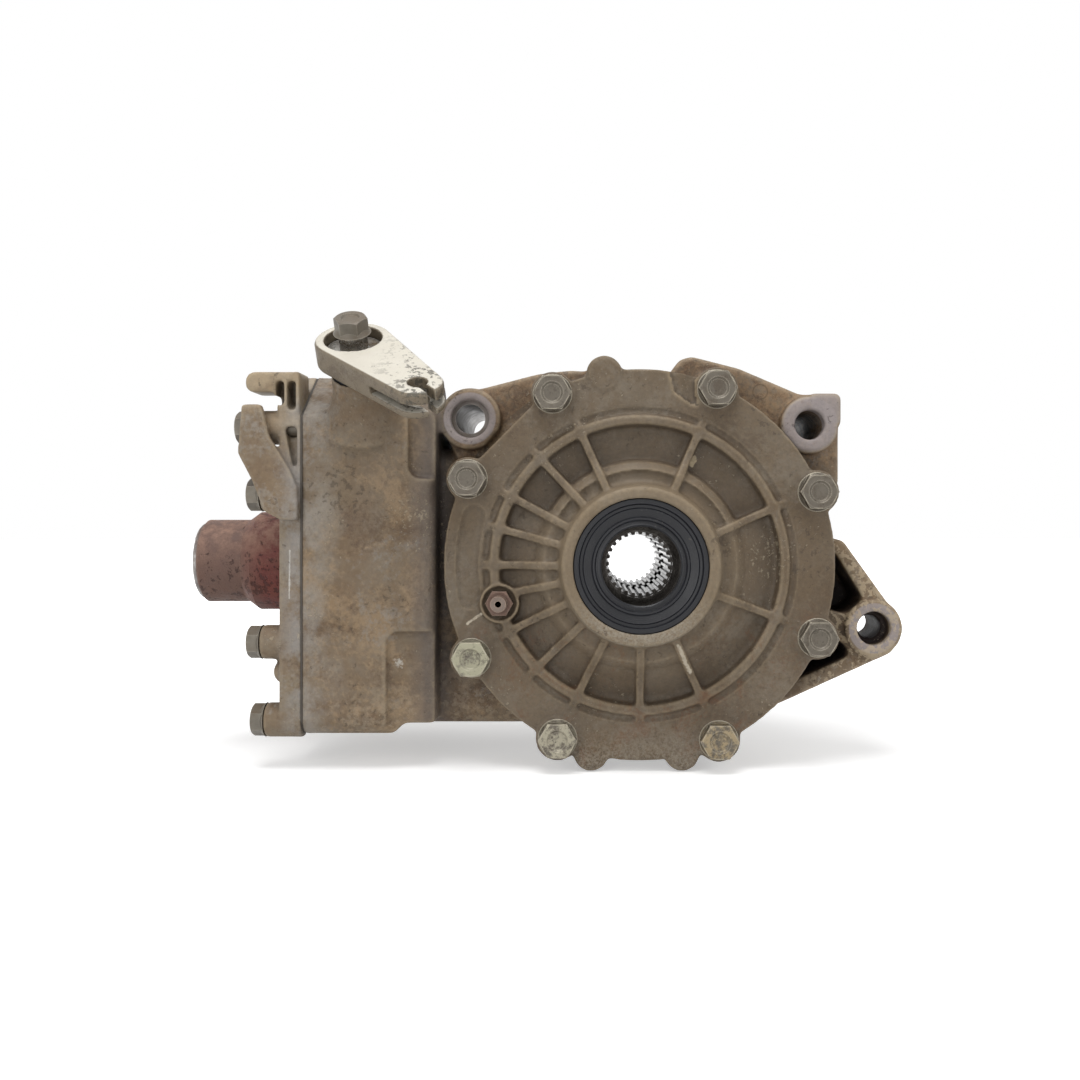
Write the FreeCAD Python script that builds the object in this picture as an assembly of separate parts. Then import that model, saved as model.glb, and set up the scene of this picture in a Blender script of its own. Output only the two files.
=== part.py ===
import FreeCAD, Part
import math
import os

# Rear differential of an off-road vehicle, in millimetres.
# The axle line is the Y axis and the cover faces -Y. +Z is up, and -X points ahead, to the input coupling.
# The origin is the mouth of the left axle socket, on the axle line.

# General fits
running_gap = 0.05
free_gap = 0.4
plate_gap = 0.15
bolt_gap = 0.3
press_gap = 0.01
seal_gap = 0.02

# Ring gear and pinion
ring_teeth = 36
pinion_teeth = 11
gear_module = 3.5
gear_pressure_deg = 22.5
ring_addendum = 0.5
pinion_addendum = 1.1
gear_root_clearance = 0.2
gear_backlash = 0.5
pinion_face_width = 20.0
ring_rim_overhang = 1.0
ring_back_depth = 10.75
ring_bore_r = 41.0
pinion_line_y = 44.0

# Axle sockets and side gears
axle_spline_teeth = 27
axle_spline_outer_r = 13.8
axle_spline_inner_r = 12.6
axle_pilot_r = 14.2
axle_pilot_depth = 5.0
side_gear_hub_r = 17.5
side_gear_hub_length = 34.0
side_gear_back_depth = 9.5
side_teeth = 18
spider_teeth = 10
side_gear_module = 3.0
side_gear_addendum = 0.8
side_gear_face_width = 10.0
side_gear_backlash = 0.35
spider_pin_r = 6.0
spider_back_depth = 3.0
thrust_washer_thickness = 1.0

# Carrier
carrier_flange_thickness = 6.0
carrier_flange_r = 58.0
carrier_drum_wall = 9.5
carrier_window_width = 34.0
carrier_window_length = 30.0
carrier_end_wall = 7.0
ring_bolt_circle_r = 51.0
ring_bolt_count = 8
ring_bolt_r = 4.0
ring_bolt_depth = 8.0
carrier_screw_circle_r = 35.5
carrier_screw_count = 6
carrier_screw_r = 2.5

# Carrier bearings
bearing_shoulder = 4.5
seal_shoulder = 3.7
shaft_bearing_shoulder = 4.0
bearing_bore_r = 22.5
bearing_outer_r = 37.5
bearing_width = 16.0
bearing_race_wall = 2.8
bearing_shoulder = 1.0
race_lip = 2.0
race_lip_height = 1.6
roller_spacing = 2.7

# Axle seals
axle_seal_outer_r = 27.7
axle_seal_lip_r = 16.2
axle_seal_width = 9.0
seal_wall = 4.8
seal_bed = 4.0
seal_recess = 1.0

# Axle cover
cover_joint_setback = 8.0
cover_flange_thickness = 12.0
cover_wall = 5.0
cover_bolt_inset = 11.5
cover_bolt_angles = (22.3, 66.3, 117.0, 153.4, 208.9, 244.7, 294.3, 337.7)
cover_lug_r = 9.3
cover_edge_r = 82.3
cover_lobes = ((-14.8, 80.3, 7.6), (-20.4, -79.3, 7.3), (17.8, -79.3, 7.3))
cover_chord_angle = 135.2
cover_chord_distance = 79.2
cover_rib_angles = (23, 66, 114, 133, 152, 165.5, 180, 192.3, 207, 225, 244.5, 270, 295, 339)
cover_rib_width = 3.4
cover_rib_height = 3.4
cover_cap_r = 43.0
cover_cap_wall = 4.5
cover_step_start = 20.0
cover_step_end = 155.0
cover_slope_r = 56.0
cover_trough_depth = 1.2
cover_ridge_inner_r = 59.0
cover_ridge_outer_r = 62.7
cover_groove_r = 66.2
cover_recess_start = 163.5
cover_recess_end = 191.0
cover_recess_width = 9.6
cover_recess_depth = 1.2
cover_bolt_r = 5.0
cover_bolt_head_across = 14.0
cover_bolt_head_height = 6.2
cover_bolt_flange_r = 8.3
breather_angle = 195.2
breather_circle_r = 60.7
breather_boss_r = 8.4
breather_well_r = 7.0
breather_well_depth = 1.8
breather_hex_across = 10.0
breather_stem_r = 3.0
breather_spigot_r = 3.3
breather_bore_r = 1.3

# Gear case, round housing
ring_tip_clearance = 4.9
case_wall = 6.0
case_flange_thickness = 12.0
case_bowl_depth = 38.0
case_far_slope_r = 64.0
top_plate_setback = 1.5
top_plate_thickness = 11.0

# Upper plate and rear bracket: corners as x, z and rounding
plate_crest = ((-43.5, 81.9, 8.0), (-29.0, 83.6, 4.0), (1.0, 81.0, 3.0), (12.5, 81.0, 3.0), (18.0, 88.2, 3.0),
               (23.2, 89.6, 3.0), (43.5, 84.4, 8.0))
bracket_upper_pocket = ((63.5, 8.0, 3.0), (85.2, 4.6, 3.0), (97.5, -15.5, 3.0), (90.0, -22.0, 5.0),
                        (70.0, -16.0, 3.0))
bracket_lower_pocket = ((62.0, -30.0, 3.0), (88.0, -33.5, 5.0), (92.4, -39.5, 3.0), (66.0, -51.0, 3.0),
                        (56.0, -48.0, 3.0))

# Mounting eyes
eye_face_setback = 4.0
eye_length = 80.0
left_eye_x = -72.1
left_eye_z = 62.1
left_eye_r = 13.3
sleeve_bore_r = 6.3
sleeve_wall = 1.9
right_eye_x = 73.0
right_eye_z = 59.5
right_eye_r = 12.5
right_eye_bore_r = 6.4
right_eye_corner = 13.5
rear_eye_x = 101.2
rear_eye_z = -27.8
rear_eye_r = 12.5
rear_eye_bore_r = 5.2
rear_eye_counterbore_r = 7.3
rear_eye_counterbore_depth = 9.0
rear_eye_proud = 3.0
bracket_thickness = 34.0
bracket_floor = 8.0

# Brake box and its bearings, along the pinion line
box_half_width = 50.0
box_bottom_z = -72.0
box_top_z = 69.0
box_corner_r = 8.0
box_rear_round = 5.0
lever_ridge_z = 82.0
lever_ridge_width = 10.0
box_step_x = -97.1
box_step_z = 36.4
box_step_depth = 4.5
box_ledge_x = -106.3
box_ledge_z = -28.1
box_ledge_depth = 3.0
box_heel_z = -67.1
box_mark_x = -121.8
box_mark_z = 57.0
box_mark_r = 4.2
box_mark_proud = 0.5
neck_bottom_z = -70.0
neck_top_z = 50.0
neck_near_setback = 4.0
pinion_bearing_bore_r = 17.5
pinion_bearing_outer_r = 31.0
pinion_bearing_width = 18.0
pinion_race_wall = 2.95
pinion_shoulder_r = 21.0
pinion_back_length = 5.0
chamber_wall = 5.0
chamber_r = 46.0
circlip_thickness = 2.5
circlip_depth = 2.0

# Brake plates
brake_hub_r = 24.0
brake_tooth_height = 3.0
brake_tooth_count = 12
friction_plate_r = 43.0
friction_plate_thickness = 3.0
friction_plate_count = 3
steel_plate_thickness = 2.0
steel_plate_inner_r = 29.0
steel_lug_angles = (0.0, 112.0, 248.0)
steel_lug_width = 12.0
steel_lug_height = 3.4
brake_travel = 0.7
brake_free_play = 0.3
pressure_plate_thickness = 5.0
ramp_ball_r = 3.6
ramp_ball_circle_r = 40.0
ramp_ball_count = 3
ramp_plate_gap = 3.4
ramp_first_deg = 30.0
ramp_sweep_deg = 8.0
cam_plate_thickness = 7.0
cam_guide_r = 36.0

# Cam shaft and lever
lever_lean_deg = 35.0
crank_offset = 5.0
crank_pin_r = 3.0
crank_reach_r = 55.0
crank_slot_depth = 7.5
crank_pin_length = 7.0
cam_shaft_r = 7.5
cam_shaft_foot_r = 9.0
cam_shaft_foot_height = 5.0
lever_neck_r = 11.0
lever_neck_top = 97.0
lever_flat_height = 80.0
lever_shoulder_r = 17.0
lever_shoulder_height = 72.0
lever_shoulder_rise = 18.0
lever_shoulder_fall = 20.0
lever_top = 113.0
lever_thickness = 11.0
lever_hub_r = 15.5
lever_arm_length = 48.6
lever_arm_deg = 50.5
lever_end_r = 10.0
lever_counterbore_r = 11.6
lever_counterbore_depth = 6.0
lever_slit = 3.0
lever_lower_tongue = 3.0
lever_slit_length = 27.0
cable_hole_r = 3.8
cable_slot = 3.0
lever_collar_r = 5.8
lever_bolt_flange_r = 7.6
lever_bolt_head_across = 12.0
lever_bolt_head_height = 6.6
lever_collar_height = 8.6
lever_bolt_r = 4.0
lever_bolt_depth = 16.0

# Front cover
front_cover_thickness = 9.0
front_gasket_thickness = 0.8
front_bearing_bore_r = 15.0
front_bearing_outer_r = 31.0
front_bearing_width = 16.0
front_race_wall = 4.1
front_bearing_set = 6.0
input_seal_outer_r = 30.0
input_seal_width = 8.0
front_bolt_near_z = (-66.0, -33.0, 29.6, 58.0)
front_bolt_far_z = (-66.0, -33.0, 30.0, 63.0)
front_bolt_inset = 7.0
front_bolt_boss_r = 7.25
front_bolt_boss_heights = (7.0, 8.7, 8.7, 13.5)
front_bolt_r = 4.0
front_bolt_head_across = 12.0
front_bolt_head_height = 5.6
front_bolt_flange_r = 7.2
front_arm_top_z = 81.0
front_arm_height = 8.5
front_arm_reach = 14.2
front_arm_depth = 16.0
front_fin_top_z = 67.1
front_fin_low_z = 18.8
front_fin_elbow_z = 46.8
front_fin_reach = 16.2
front_fin_proud = 4.0
front_fin_thickness = 3.4
front_pocket_depth = 9.0
front_bump_r = 5.5
front_bump_z = -45.5

# Input coupling
coupling_r = 22.5
coupling_neck_r = 18.9
coupling_shoulder_from_face = 21.2
coupling_cone_length = 5.0
coupling_neck_length = 20.0
coupling_socket_r = 14.6
coupling_spline_r = 13.4
coupling_spline_teeth = 24
coupling_web = 10.0
coupling_lip_r = 17.2
coupling_lip_proud = 2.0
coupling_lip_seat = 6.0
coupling_lip_seat_r = 16.4
coupling_lip_bore_r = 15.0
pinion_end_r = 11.0
coupling_nut_across = 24.0
coupling_nut_height = 8.0

# Small fittings
drain_x = 28.0
drain_y = 36.0
plug_r = 6.0
plug_boss_r = 11.0
plug_head_across = 17.0
plug_head_height = 6.0
plug_flange_r = 11.0
plug_flange_thickness = 2.0
filler_y = 46.0
filler_z = 31.0
dowel_r = 3.0
dowel_length = 12.0
dowel_angles = (94.0, 270.0)
o_ring_r = 1.0
thread_engagement = 16.0

# Worked out from the sizes above: the gears
ring_pitch_r = gear_module * ring_teeth / 2
pinion_pitch_r = gear_module * pinion_teeth / 2
ring_cone = math.atan2(ring_teeth, pinion_teeth)
pinion_cone = math.pi / 2 - ring_cone
ring_outer_r = ring_pitch_r + ring_rim_overhang
ring_back_y = pinion_line_y - pinion_pitch_r - ring_back_depth
side_pitch_r = side_gear_module * side_teeth / 2
spider_pitch_r = side_gear_module * spider_teeth / 2
side_cone = math.atan2(side_teeth, spider_teeth)
spider_cone = math.pi / 2 - side_cone
left_side_back_y = side_gear_hub_length
centre_y = left_side_back_y + side_gear_back_depth + spider_pitch_r
right_side_back_y = 2 * centre_y - left_side_back_y
right_mouth_y = 2 * centre_y

# Worked out: the carrier and its bearings
flange_near_y = ring_back_y - carrier_flange_thickness
spider_seat = side_pitch_r + spider_back_depth + thrust_washer_thickness
drum_bore_r = spider_seat - 0.5
drum_r = drum_bore_r + carrier_drum_wall
drum_left_seat_y = left_side_back_y - thrust_washer_thickness
drum_right_seat_y = right_side_back_y + thrust_washer_thickness
drum_end_y = drum_right_seat_y + carrier_end_wall
hub_bore_r = side_gear_hub_r + running_gap
left_bearing_in_y = flange_near_y - bearing_shoulder
left_bearing_out_y = left_bearing_in_y - bearing_width
right_bearing_in_y = drum_end_y + bearing_shoulder
right_bearing_out_y = right_bearing_in_y + bearing_width

# Worked out: the cover and the round housing
cover_joint_y = ring_back_y - cover_joint_setback
cover_face_y = cover_joint_y - cover_flange_thickness
cavity_r = ring_outer_r + ring_tip_clearance
case_shell_r = cavity_r + case_wall
cover_bolt_circle_r = cavity_r + cover_bolt_inset
seal_boss_r = axle_seal_outer_r + seal_wall
left_seal_in_y = left_bearing_out_y - seal_bed
left_seal_out_y = left_seal_in_y - axle_seal_width
cover_boss_y = left_seal_out_y - seal_recess
cover_cap_y = left_bearing_out_y - cover_cap_wall
cover_inner_y = cover_joint_y - cover_wall
cover_floor_y = cover_inner_y - cover_wall
right_seal_in_y = right_mouth_y + 3.0
right_seal_out_y = right_seal_in_y + axle_seal_width
case_boss_y = right_seal_out_y + seal_recess
case_flange_far_y = cover_joint_y + case_flange_thickness
cavity_straight_y = cover_joint_y + case_bowl_depth
drum_clearance_r = drum_r + 4.0
eye_near_y = cover_joint_y - eye_face_setback
eye_far_y = eye_near_y + eye_length

# Worked out: places along the pinion line, from the pinion's head to the front face
pinion_back_x = -ring_pitch_r - pinion_back_length
pinion_bearing_rear_x = pinion_back_x
pinion_bearing_front_x = pinion_bearing_rear_x - pinion_bearing_width
circlip_front_x = pinion_bearing_front_x - circlip_thickness
chamber_rear_x = circlip_front_x - 2.5
box_rear_x = chamber_rear_x + chamber_wall
stack_thickness = (friction_plate_count * friction_plate_thickness
                   + (friction_plate_count + 1) * steel_plate_thickness
                   + (2 * friction_plate_count + 1) * plate_gap)
stack_front_x = chamber_rear_x - stack_thickness
pressure_rear_x = stack_front_x - brake_travel - brake_free_play
pressure_front_x = pressure_rear_x - pressure_plate_thickness
cam_rear_x = pressure_front_x - ramp_plate_gap
cam_front_x = cam_rear_x - cam_plate_thickness
cam_middle_x = (cam_rear_x + cam_front_x) / 2
ramp_ball_x = (pressure_front_x + cam_rear_x) / 2
lever_x = cam_middle_x + crank_offset
front_bearing_rear_x = cam_rear_x - 1.0
front_bearing_front_x = front_bearing_rear_x - front_bearing_width
joint_x = front_bearing_front_x - front_bearing_set
cover_rear_x = joint_x - front_gasket_thickness
front_face_x = cover_rear_x - front_cover_thickness
coupling_shoulder_x = front_face_x - coupling_shoulder_from_face
coupling_neck_x = coupling_shoulder_x - coupling_cone_length
coupling_end_x = coupling_neck_x - coupling_neck_length
box_near_y = pinion_line_y - box_half_width
box_far_y = pinion_line_y + box_half_width
gear_centre = FreeCAD.Vector(0, centre_y, 0)
lever_lean = math.radians(lever_lean_deg)
lever_axis = FreeCAD.Vector(0, -math.sin(lever_lean), math.cos(lever_lean))
lever_side = FreeCAD.Vector(0, math.cos(lever_lean), math.sin(lever_lean))
lever_root = FreeCAD.Vector(lever_x, pinion_line_y, 0)


# Worked out: fits of the lever's shaft, the cover's ring and pins, and the front end
lever_foot_top = crank_reach_r + cam_shaft_foot_height + 4.0
lever_seat_height = lever_top - lever_counterbore_depth
cam_ear_reach = 15.0
cam_seal_r = cam_shaft_r + 2.2
o_ring_mid_r = cavity_r + 0.9 + o_ring_r
dowel_circle_r = cover_edge_r - dowel_r - 1.0
front_near_bolt_y = box_near_y + front_bolt_inset
front_far_bolt_y = box_far_y - front_bolt_inset
front_bolt_places = ([(front_near_bolt_y, z) for z in front_bolt_near_z]
                     + [(front_far_bolt_y, z) for z in front_bolt_far_z])
front_bolt_seats = [front_face_x - height for height in front_bolt_boss_heights * 2]
front_fin_near_y = box_near_y - front_fin_proud
input_seal_front_x = front_face_x - 2.0
input_seal_rear_x = input_seal_front_x + input_seal_width
nut_front_x = front_face_x - coupling_web - coupling_nut_height
spider_tip_r = spider_pitch_r + side_gear_addendum * side_gear_module * math.cos(spider_cone)

X_AXIS = FreeCAD.Vector(1, 0, 0)
Y_AXIS = FreeCAD.Vector(0, 1, 0)
Z_AXIS = FreeCAD.Vector(0, 0, 1)


def polar(radius, angle_deg):
    """Return the x and z of a place at a radius and angle round the axle line."""
    angle = math.radians(angle_deg)
    return radius * math.cos(angle), radius * math.sin(angle)


cover_bolt_places = [polar(cover_bolt_circle_r, angle) for angle in cover_bolt_angles]
ring_bolt_places = [polar(ring_bolt_circle_r,
                          360 / ring_bolt_count * (step + 0.5)) for step in range(ring_bolt_count)]
carrier_screw_places = [polar(carrier_screw_circle_r, 360 / carrier_screw_count * step)
                        for step in range(carrier_screw_count)]


def round_y(radius, y_from, y_to, x=0.0, z=0.0):
    return Part.makeCylinder(radius, y_to - y_from, FreeCAD.Vector(x, y_from, z), Y_AXIS)


def round_x(radius, x_from, x_to, y=pinion_line_y, z=0.0):
    return Part.makeCylinder(radius, x_to - x_from, FreeCAD.Vector(x_from, y, z), X_AXIS)


def round_z(radius, z_from, z_to, x=0.0, y=0.0):
    return Part.makeCylinder(radius, z_to - z_from, FreeCAD.Vector(x, y, z_from), Z_AXIS)


def tube_y(outer_r, inner_r, y_from, y_to, x=0.0, z=0.0):
    return round_y(outer_r, y_from, y_to, x, z).cut(round_y(inner_r, y_from, y_to, x, z))


def tube_x(outer_r, inner_r, x_from, x_to, y=pinion_line_y, z=0.0):
    return round_x(outer_r, x_from, x_to, y, z).cut(round_x(inner_r, x_from, x_to, y, z))


def turned_y(profile):
    """Turn a closed profile of (radius, y) corners about the axle line."""
    corners = [FreeCAD.Vector(radius, y, 0) for radius, y in profile]
    face = Part.Face(Part.makePolygon(corners + corners[:1]))
    return face.revolve(FreeCAD.Vector(0, 0, 0), Y_AXIS, 360)


def turned_x(profile):
    """Turn a closed profile of (radius, x) corners about the pinion line."""
    corners = [FreeCAD.Vector(x, pinion_line_y + radius, 0) for radius, x in profile]
    face = Part.Face(Part.makePolygon(corners + corners[:1]))
    return face.revolve(FreeCAD.Vector(0, pinion_line_y, 0), X_AXIS, 360)


def rounded_wire(corners, place):
    """Join (u, v, radius) corners with straight lines, and round each corner by its radius."""
    count = len(corners)
    stretches = []
    for index in range(count):
        u, v, radius = corners[index]
        before = corners[index - 1]
        after = corners[(index + 1) % count]
        back = FreeCAD.Vector(before[0] - u, before[1] - v, 0).normalize()
        ahead = FreeCAD.Vector(after[0] - u, after[1] - v, 0).normalize()
        corner = FreeCAD.Vector(u, v, 0)
        if radius == 0:
            stretches.append((corner, None, corner))
            continue
        half_angle = back.getAngle(ahead) / 2
        tangent = radius / math.tan(half_angle)
        middle = (back + ahead).normalize()
        arc_middle = corner + middle * (radius / math.sin(half_angle) - radius)
        stretches.append((corner + back * tangent, arc_middle, corner + ahead * tangent))
    edges = []
    for index in range(count):
        start, arc_middle, end = stretches[index]
        following = stretches[(index + 1) % count][0]
        if arc_middle is not None:
            arc = Part.Arc(place(start.x, start.y), place(arc_middle.x, arc_middle.y), place(end.x, end.y))
            edges.append(arc.toShape())
        if end.distanceToPoint(following) > 1e-6:
            edges.append(Part.LineSegment(place(end.x, end.y), place(following.x, following.y)).toShape())
    return Part.Wire(edges)


def slab_y(corners, y_from, y_to):
    """Raise an (x, z) outline with rounded corners along Y."""
    wire = rounded_wire(corners, lambda u, v: FreeCAD.Vector(u, y_from, v))
    return Part.Face(wire).extrude(Y_AXIS * (y_to - y_from))


def slab_x(corners, x_from, x_to):
    """Raise a (y, z) outline with rounded corners along X."""
    wire = rounded_wire(corners, lambda u, v: FreeCAD.Vector(x_from, u, v))
    return Part.Face(wire).extrude(X_AXIS * (x_to - x_from))


def hexagon_prism(across_flats, height, base, direction):
    """Return a hexagon prism that stands on base along direction."""
    corner_r = across_flats / math.sqrt(3)
    corners = []
    for step in range(7):
        angle = math.radians(60 * step)
        corners.append(FreeCAD.Vector(corner_r * math.cos(angle), corner_r * math.sin(angle), 0))
    prism = Part.Face(Part.makePolygon(corners)).extrude(Z_AXIS * height)
    crown = Part.makeCone(corner_r + height * 1.5, corner_r - 1.0, height)
    prism = prism.common(crown)
    prism.Placement = FreeCAD.Placement(base, FreeCAD.Rotation(Z_AXIS, direction))
    return prism


def flange_bolt(shank_r, shank_length, flange_r, across_flats, head_height, seat, outward):
    """Return a flange bolt whose head's underside is at seat and whose head points outward."""
    flange_height = head_height * 0.3
    shank = Part.makeCylinder(shank_r, shank_length, seat - outward * shank_length, outward)
    flange = Part.makeCone(flange_r, flange_r - flange_height * 0.8, flange_height, seat, outward)
    head = hexagon_prism(across_flats, head_height, seat, outward)
    dish = Part.makeCone(across_flats * 0.26, across_flats * 0.33, 0.7, seat + outward * (head_height - 0.7),
                         outward)
    return shank.fuse([flange, head]).cut(dish).removeSplitter()


def joined(pieces):
    """Fuse pieces that belong to one solid."""
    return pieces[0].fuse(pieces[1:]).removeSplitter()


def spline_hole(outer_r, inner_r, teeth, y_or_x_from, y_or_x_to, centre, direction):
    """Return the toothed prism that cuts a splined hole, for a hole along X or Y through centre."""
    corners = []
    pitch = 2 * math.pi / teeth
    for tooth in range(teeth):
        for share, radius in ((-0.30, inner_r), (-0.17, outer_r), (0.17, outer_r), (0.30, inner_r)):
            angle = pitch * (tooth + share)
            corners.append((radius * math.cos(angle), radius * math.sin(angle)))
    if direction == X_AXIS:
        points = [FreeCAD.Vector(y_or_x_from, centre.y + u, centre.z + v) for u, v in corners]
    else:
        points = [FreeCAD.Vector(centre.x + u, y_or_x_from, centre.z + v) for u, v in corners]
    face = Part.Face(Part.makePolygon(points + points[:1]))
    return face.extrude(direction * (y_or_x_to - y_or_x_from))


def involute(angle):
    return math.tan(angle) - angle


def bevel_teeth(teeth, mate_teeth, module, pressure_deg, addendum, mate_addendum, backlash, near, far):
    """Return a toothed cone along +Z whose tip is the origin, between the levels near and far."""
    cone = math.atan2(teeth, mate_teeth)
    pitch_r = module * teeth / 2
    level = pitch_r / math.tan(cone)
    spur_r = pitch_r / math.cos(cone)
    pressure = math.radians(pressure_deg)
    base_r = spur_r * math.cos(pressure)
    shift = (addendum - mate_addendum) / 2
    thickness = module * (math.pi / 2 + 2 * shift * math.tan(pressure)) - backlash / 2
    pitch_half_angle = thickness / 2 / spur_r
    tip_r = spur_r + addendum * module
    root_r = spur_r - (mate_addendum + gear_root_clearance) * module
    flank = []
    steps = 3
    for step in range(steps + 1):
        radius = root_r + (tip_r - root_r) * step / steps
        half_angle = pitch_half_angle + involute(pressure)
        if radius > base_r:
            half_angle -= involute(math.acos(base_r / radius))
        height = level - (radius - spur_r) * math.sin(cone)
        flank.append((radius * math.cos(cone) / height, half_angle / math.cos(cone)))

    def wire_at(height):
        edges = []
        pitch = 2 * math.pi / teeth

        def spot(slope, angle):
            return FreeCAD.Vector(slope * height * math.cos(angle), slope * height * math.sin(angle), height)

        for tooth in range(teeth):
            middle = tooth * pitch
            rising = [spot(slope, middle - angle) for slope, angle in flank]
            falling = [spot(slope, middle + angle) for slope, angle in reversed(flank)]
            next_root = spot(flank[0][0], middle + pitch - flank[0][1])
            for side in (rising, falling):
                curve = Part.BSplineCurve()
                curve.interpolate(side)
                edges.append(curve.toShape())
                if side is rising:
                    edges.append(Part.LineSegment(rising[-1], falling[0]).toShape())
            edges.append(Part.LineSegment(falling[-1], next_root).toShape())
        return Part.Wire(edges)

    return Part.makeLoft([wire_at(near), wire_at(far)], True, True)


def placed(shape, turn_axis, turn_deg, offset):
    """Return shape turned about a line through the origin, then moved."""
    moved = shape.copy()
    moved.rotate(FreeCAD.Vector(0, 0, 0), turn_axis, turn_deg)
    moved.translate(offset)
    return moved


def lever_spot(height, along=0.0, across=0.0):
    """Return a place by its height along the lever's shaft, and its shifts along +X and the lever's side."""
    return lever_root + lever_axis * height + X_AXIS * along + lever_side * across


def lever_round(radius, height_from, height_to, along=0.0, across=0.0):
    return Part.makeCylinder(radius, height_to - height_from, lever_spot(height_from, along, across),
                             lever_axis)


def to_lever(shape):
    """Carry a shape from the lever's own axes, with Z up its shaft, to its place."""
    turned = shape.copy()
    matrix = FreeCAD.Matrix(1, 0, 0, lever_root.x,
                            0, lever_side.y, lever_axis.y, lever_root.y,
                            0, lever_side.z, lever_axis.z, lever_root.z,
                            0, 0, 0, 1)
    turned.Placement = FreeCAD.Placement(matrix).multiply(turned.Placement)
    return turned


# Axle cover and its fasteners
def cover_outline(y_from, y_to):
    """Return the bolted flange's outline, shared by the cover and the case."""
    plate = round_y(cover_edge_r, y_from, y_to)
    chord_x, chord_z = polar(cover_chord_distance, cover_chord_angle)
    off_chord = Part.makeBox(40, y_to - y_from, 80, FreeCAD.Vector(0, y_from, -40))
    off_chord.rotate(FreeCAD.Vector(0, 0, 0), Y_AXIS, -cover_chord_angle)
    off_chord.translate(FreeCAD.Vector(chord_x, 0, chord_z))
    plate = plate.cut(off_chord)
    lugs = []
    for x, z in cover_bolt_places:
        lugs.append(round_y(cover_lug_r, y_from, y_to, x, z))
    for x, z, radius in cover_lobes:
        lugs.append(round_y(radius, y_from, y_to, x, z))
    return joined([plate] + lugs)


def turned_sector(profile, start_deg, end_deg):
    """Turn a closed profile of (radius, y) corners about the axle line, from one angle to another."""
    corners = [FreeCAD.Vector(radius, y, 0) for radius, y in profile]
    face = Part.Face(Part.makePolygon(corners + corners[:1]))
    sector = face.revolve(FreeCAD.Vector(0, 0, 0), Y_AXIS, start_deg - end_deg)
    sector.rotate(FreeCAD.Vector(0, 0, 0), Y_AXIS, -start_deg)
    return sector


def make_axle_cover():
    flange = cover_outline(cover_face_y, cover_joint_y)
    ridge_y = cover_face_y - 2.2
    boss_root_r = seal_boss_r + 1.6
    dish = turned_y([(0, cover_boss_y), (seal_boss_r - 0.8, cover_boss_y), (seal_boss_r, cover_boss_y + 0.8),
                     (boss_root_r, cover_cap_y), (cover_cap_r - 3.0, cover_cap_y),
                     (cover_cap_r, cover_cap_y + 3.0), (cover_cap_r + 1.5, cover_floor_y),
                     (cover_ridge_inner_r - 1.0, cover_floor_y), (cover_ridge_inner_r, ridge_y),
                     (cover_ridge_outer_r, ridge_y), (cover_ridge_outer_r + 0.8, cover_face_y + 1.0),
                     (cover_groove_r, cover_face_y + 1.0), (cover_groove_r, cover_joint_y),
                     (0, cover_joint_y)])
    hollow = turned_y([(0, cover_face_y - 40), (cover_groove_r, cover_face_y - 40),
                       (cover_groove_r, cover_joint_y), (0, cover_joint_y)])
    slope = turned_sector([(seal_boss_r, cover_cap_y), (boss_root_r, cover_cap_y),
                           (cover_slope_r, cover_floor_y),
                           (cover_slope_r, cover_inner_y), (seal_boss_r, cover_inner_y)],
                          cover_step_end, cover_step_start + 360)
    trough_far_r = cover_cap_r - 4.0
    trough = turned_sector([(boss_root_r + 0.6, cover_cap_y - 1.0), (trough_far_r + 1.0, cover_cap_y - 1.0),
                            (trough_far_r, cover_cap_y + cover_trough_depth),
                            (boss_root_r + 1.4, cover_cap_y + cover_trough_depth)],
                           cover_step_start, cover_step_end)
    body = flange.cut(hollow).fuse([dish, slope]).cut(trough)
    ribs = []
    for angle in cover_rib_angles:
        rib = turned_rib(angle, ridge_y)
        ribs.append(rib)
    body = body.fuse(ribs)
    boss_x, boss_z = polar(breather_circle_r, breather_angle)
    body = body.fuse(round_y(breather_boss_r, ridge_y - 1.0, cover_inner_y, boss_x, boss_z))
    lobe_x, lobe_z, lobe_r = cover_lobes[0]
    body = body.fuse(round_y(lobe_r - 1.2, cover_face_y - 0.8, cover_joint_y, lobe_x, lobe_z))
    for x, z in cover_bolt_places:
        body = body.fuse(round_y(cover_bolt_flange_r + 0.5, cover_face_y - 0.6, cover_joint_y, x, z))
    cuts = [
        round_y(bearing_outer_r, left_bearing_out_y, cover_joint_y + 1.0),
        round_y(bearing_outer_r - bearing_shoulder, left_bearing_out_y - 0.5, left_bearing_out_y),
        round_y(axle_seal_outer_r - seal_shoulder, left_seal_in_y, left_bearing_out_y),
        round_y(axle_seal_outer_r, cover_boss_y, left_seal_in_y),
        turned_y([(bearing_outer_r + 5.5, cover_inner_y), (cavity_r - 2.0, cover_inner_y),
                  (cavity_r, cover_inner_y + 2.0), (cavity_r, cover_joint_y),
                  (bearing_outer_r + 5.5, cover_joint_y)]),
        round_y(breather_well_r, ridge_y - 2.0, ridge_y - 1.0 + breather_well_depth, boss_x, boss_z),
        round_y(breather_stem_r, ridge_y - 2.0, cover_joint_y, boss_x, boss_z),
        slot_recess(),
    ]
    for x, z in cover_bolt_places:
        cuts.append(round_y(cover_bolt_r + bolt_gap, cover_face_y - 1.0, cover_joint_y, x, z))
    for angle in dowel_angles:
        x, z = polar(dowel_circle_r, angle)
        cuts.append(round_y(dowel_r + press_gap, cover_joint_y - dowel_length / 2, cover_joint_y, x, z))
    return body.cut(cuts).removeSplitter()


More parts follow.
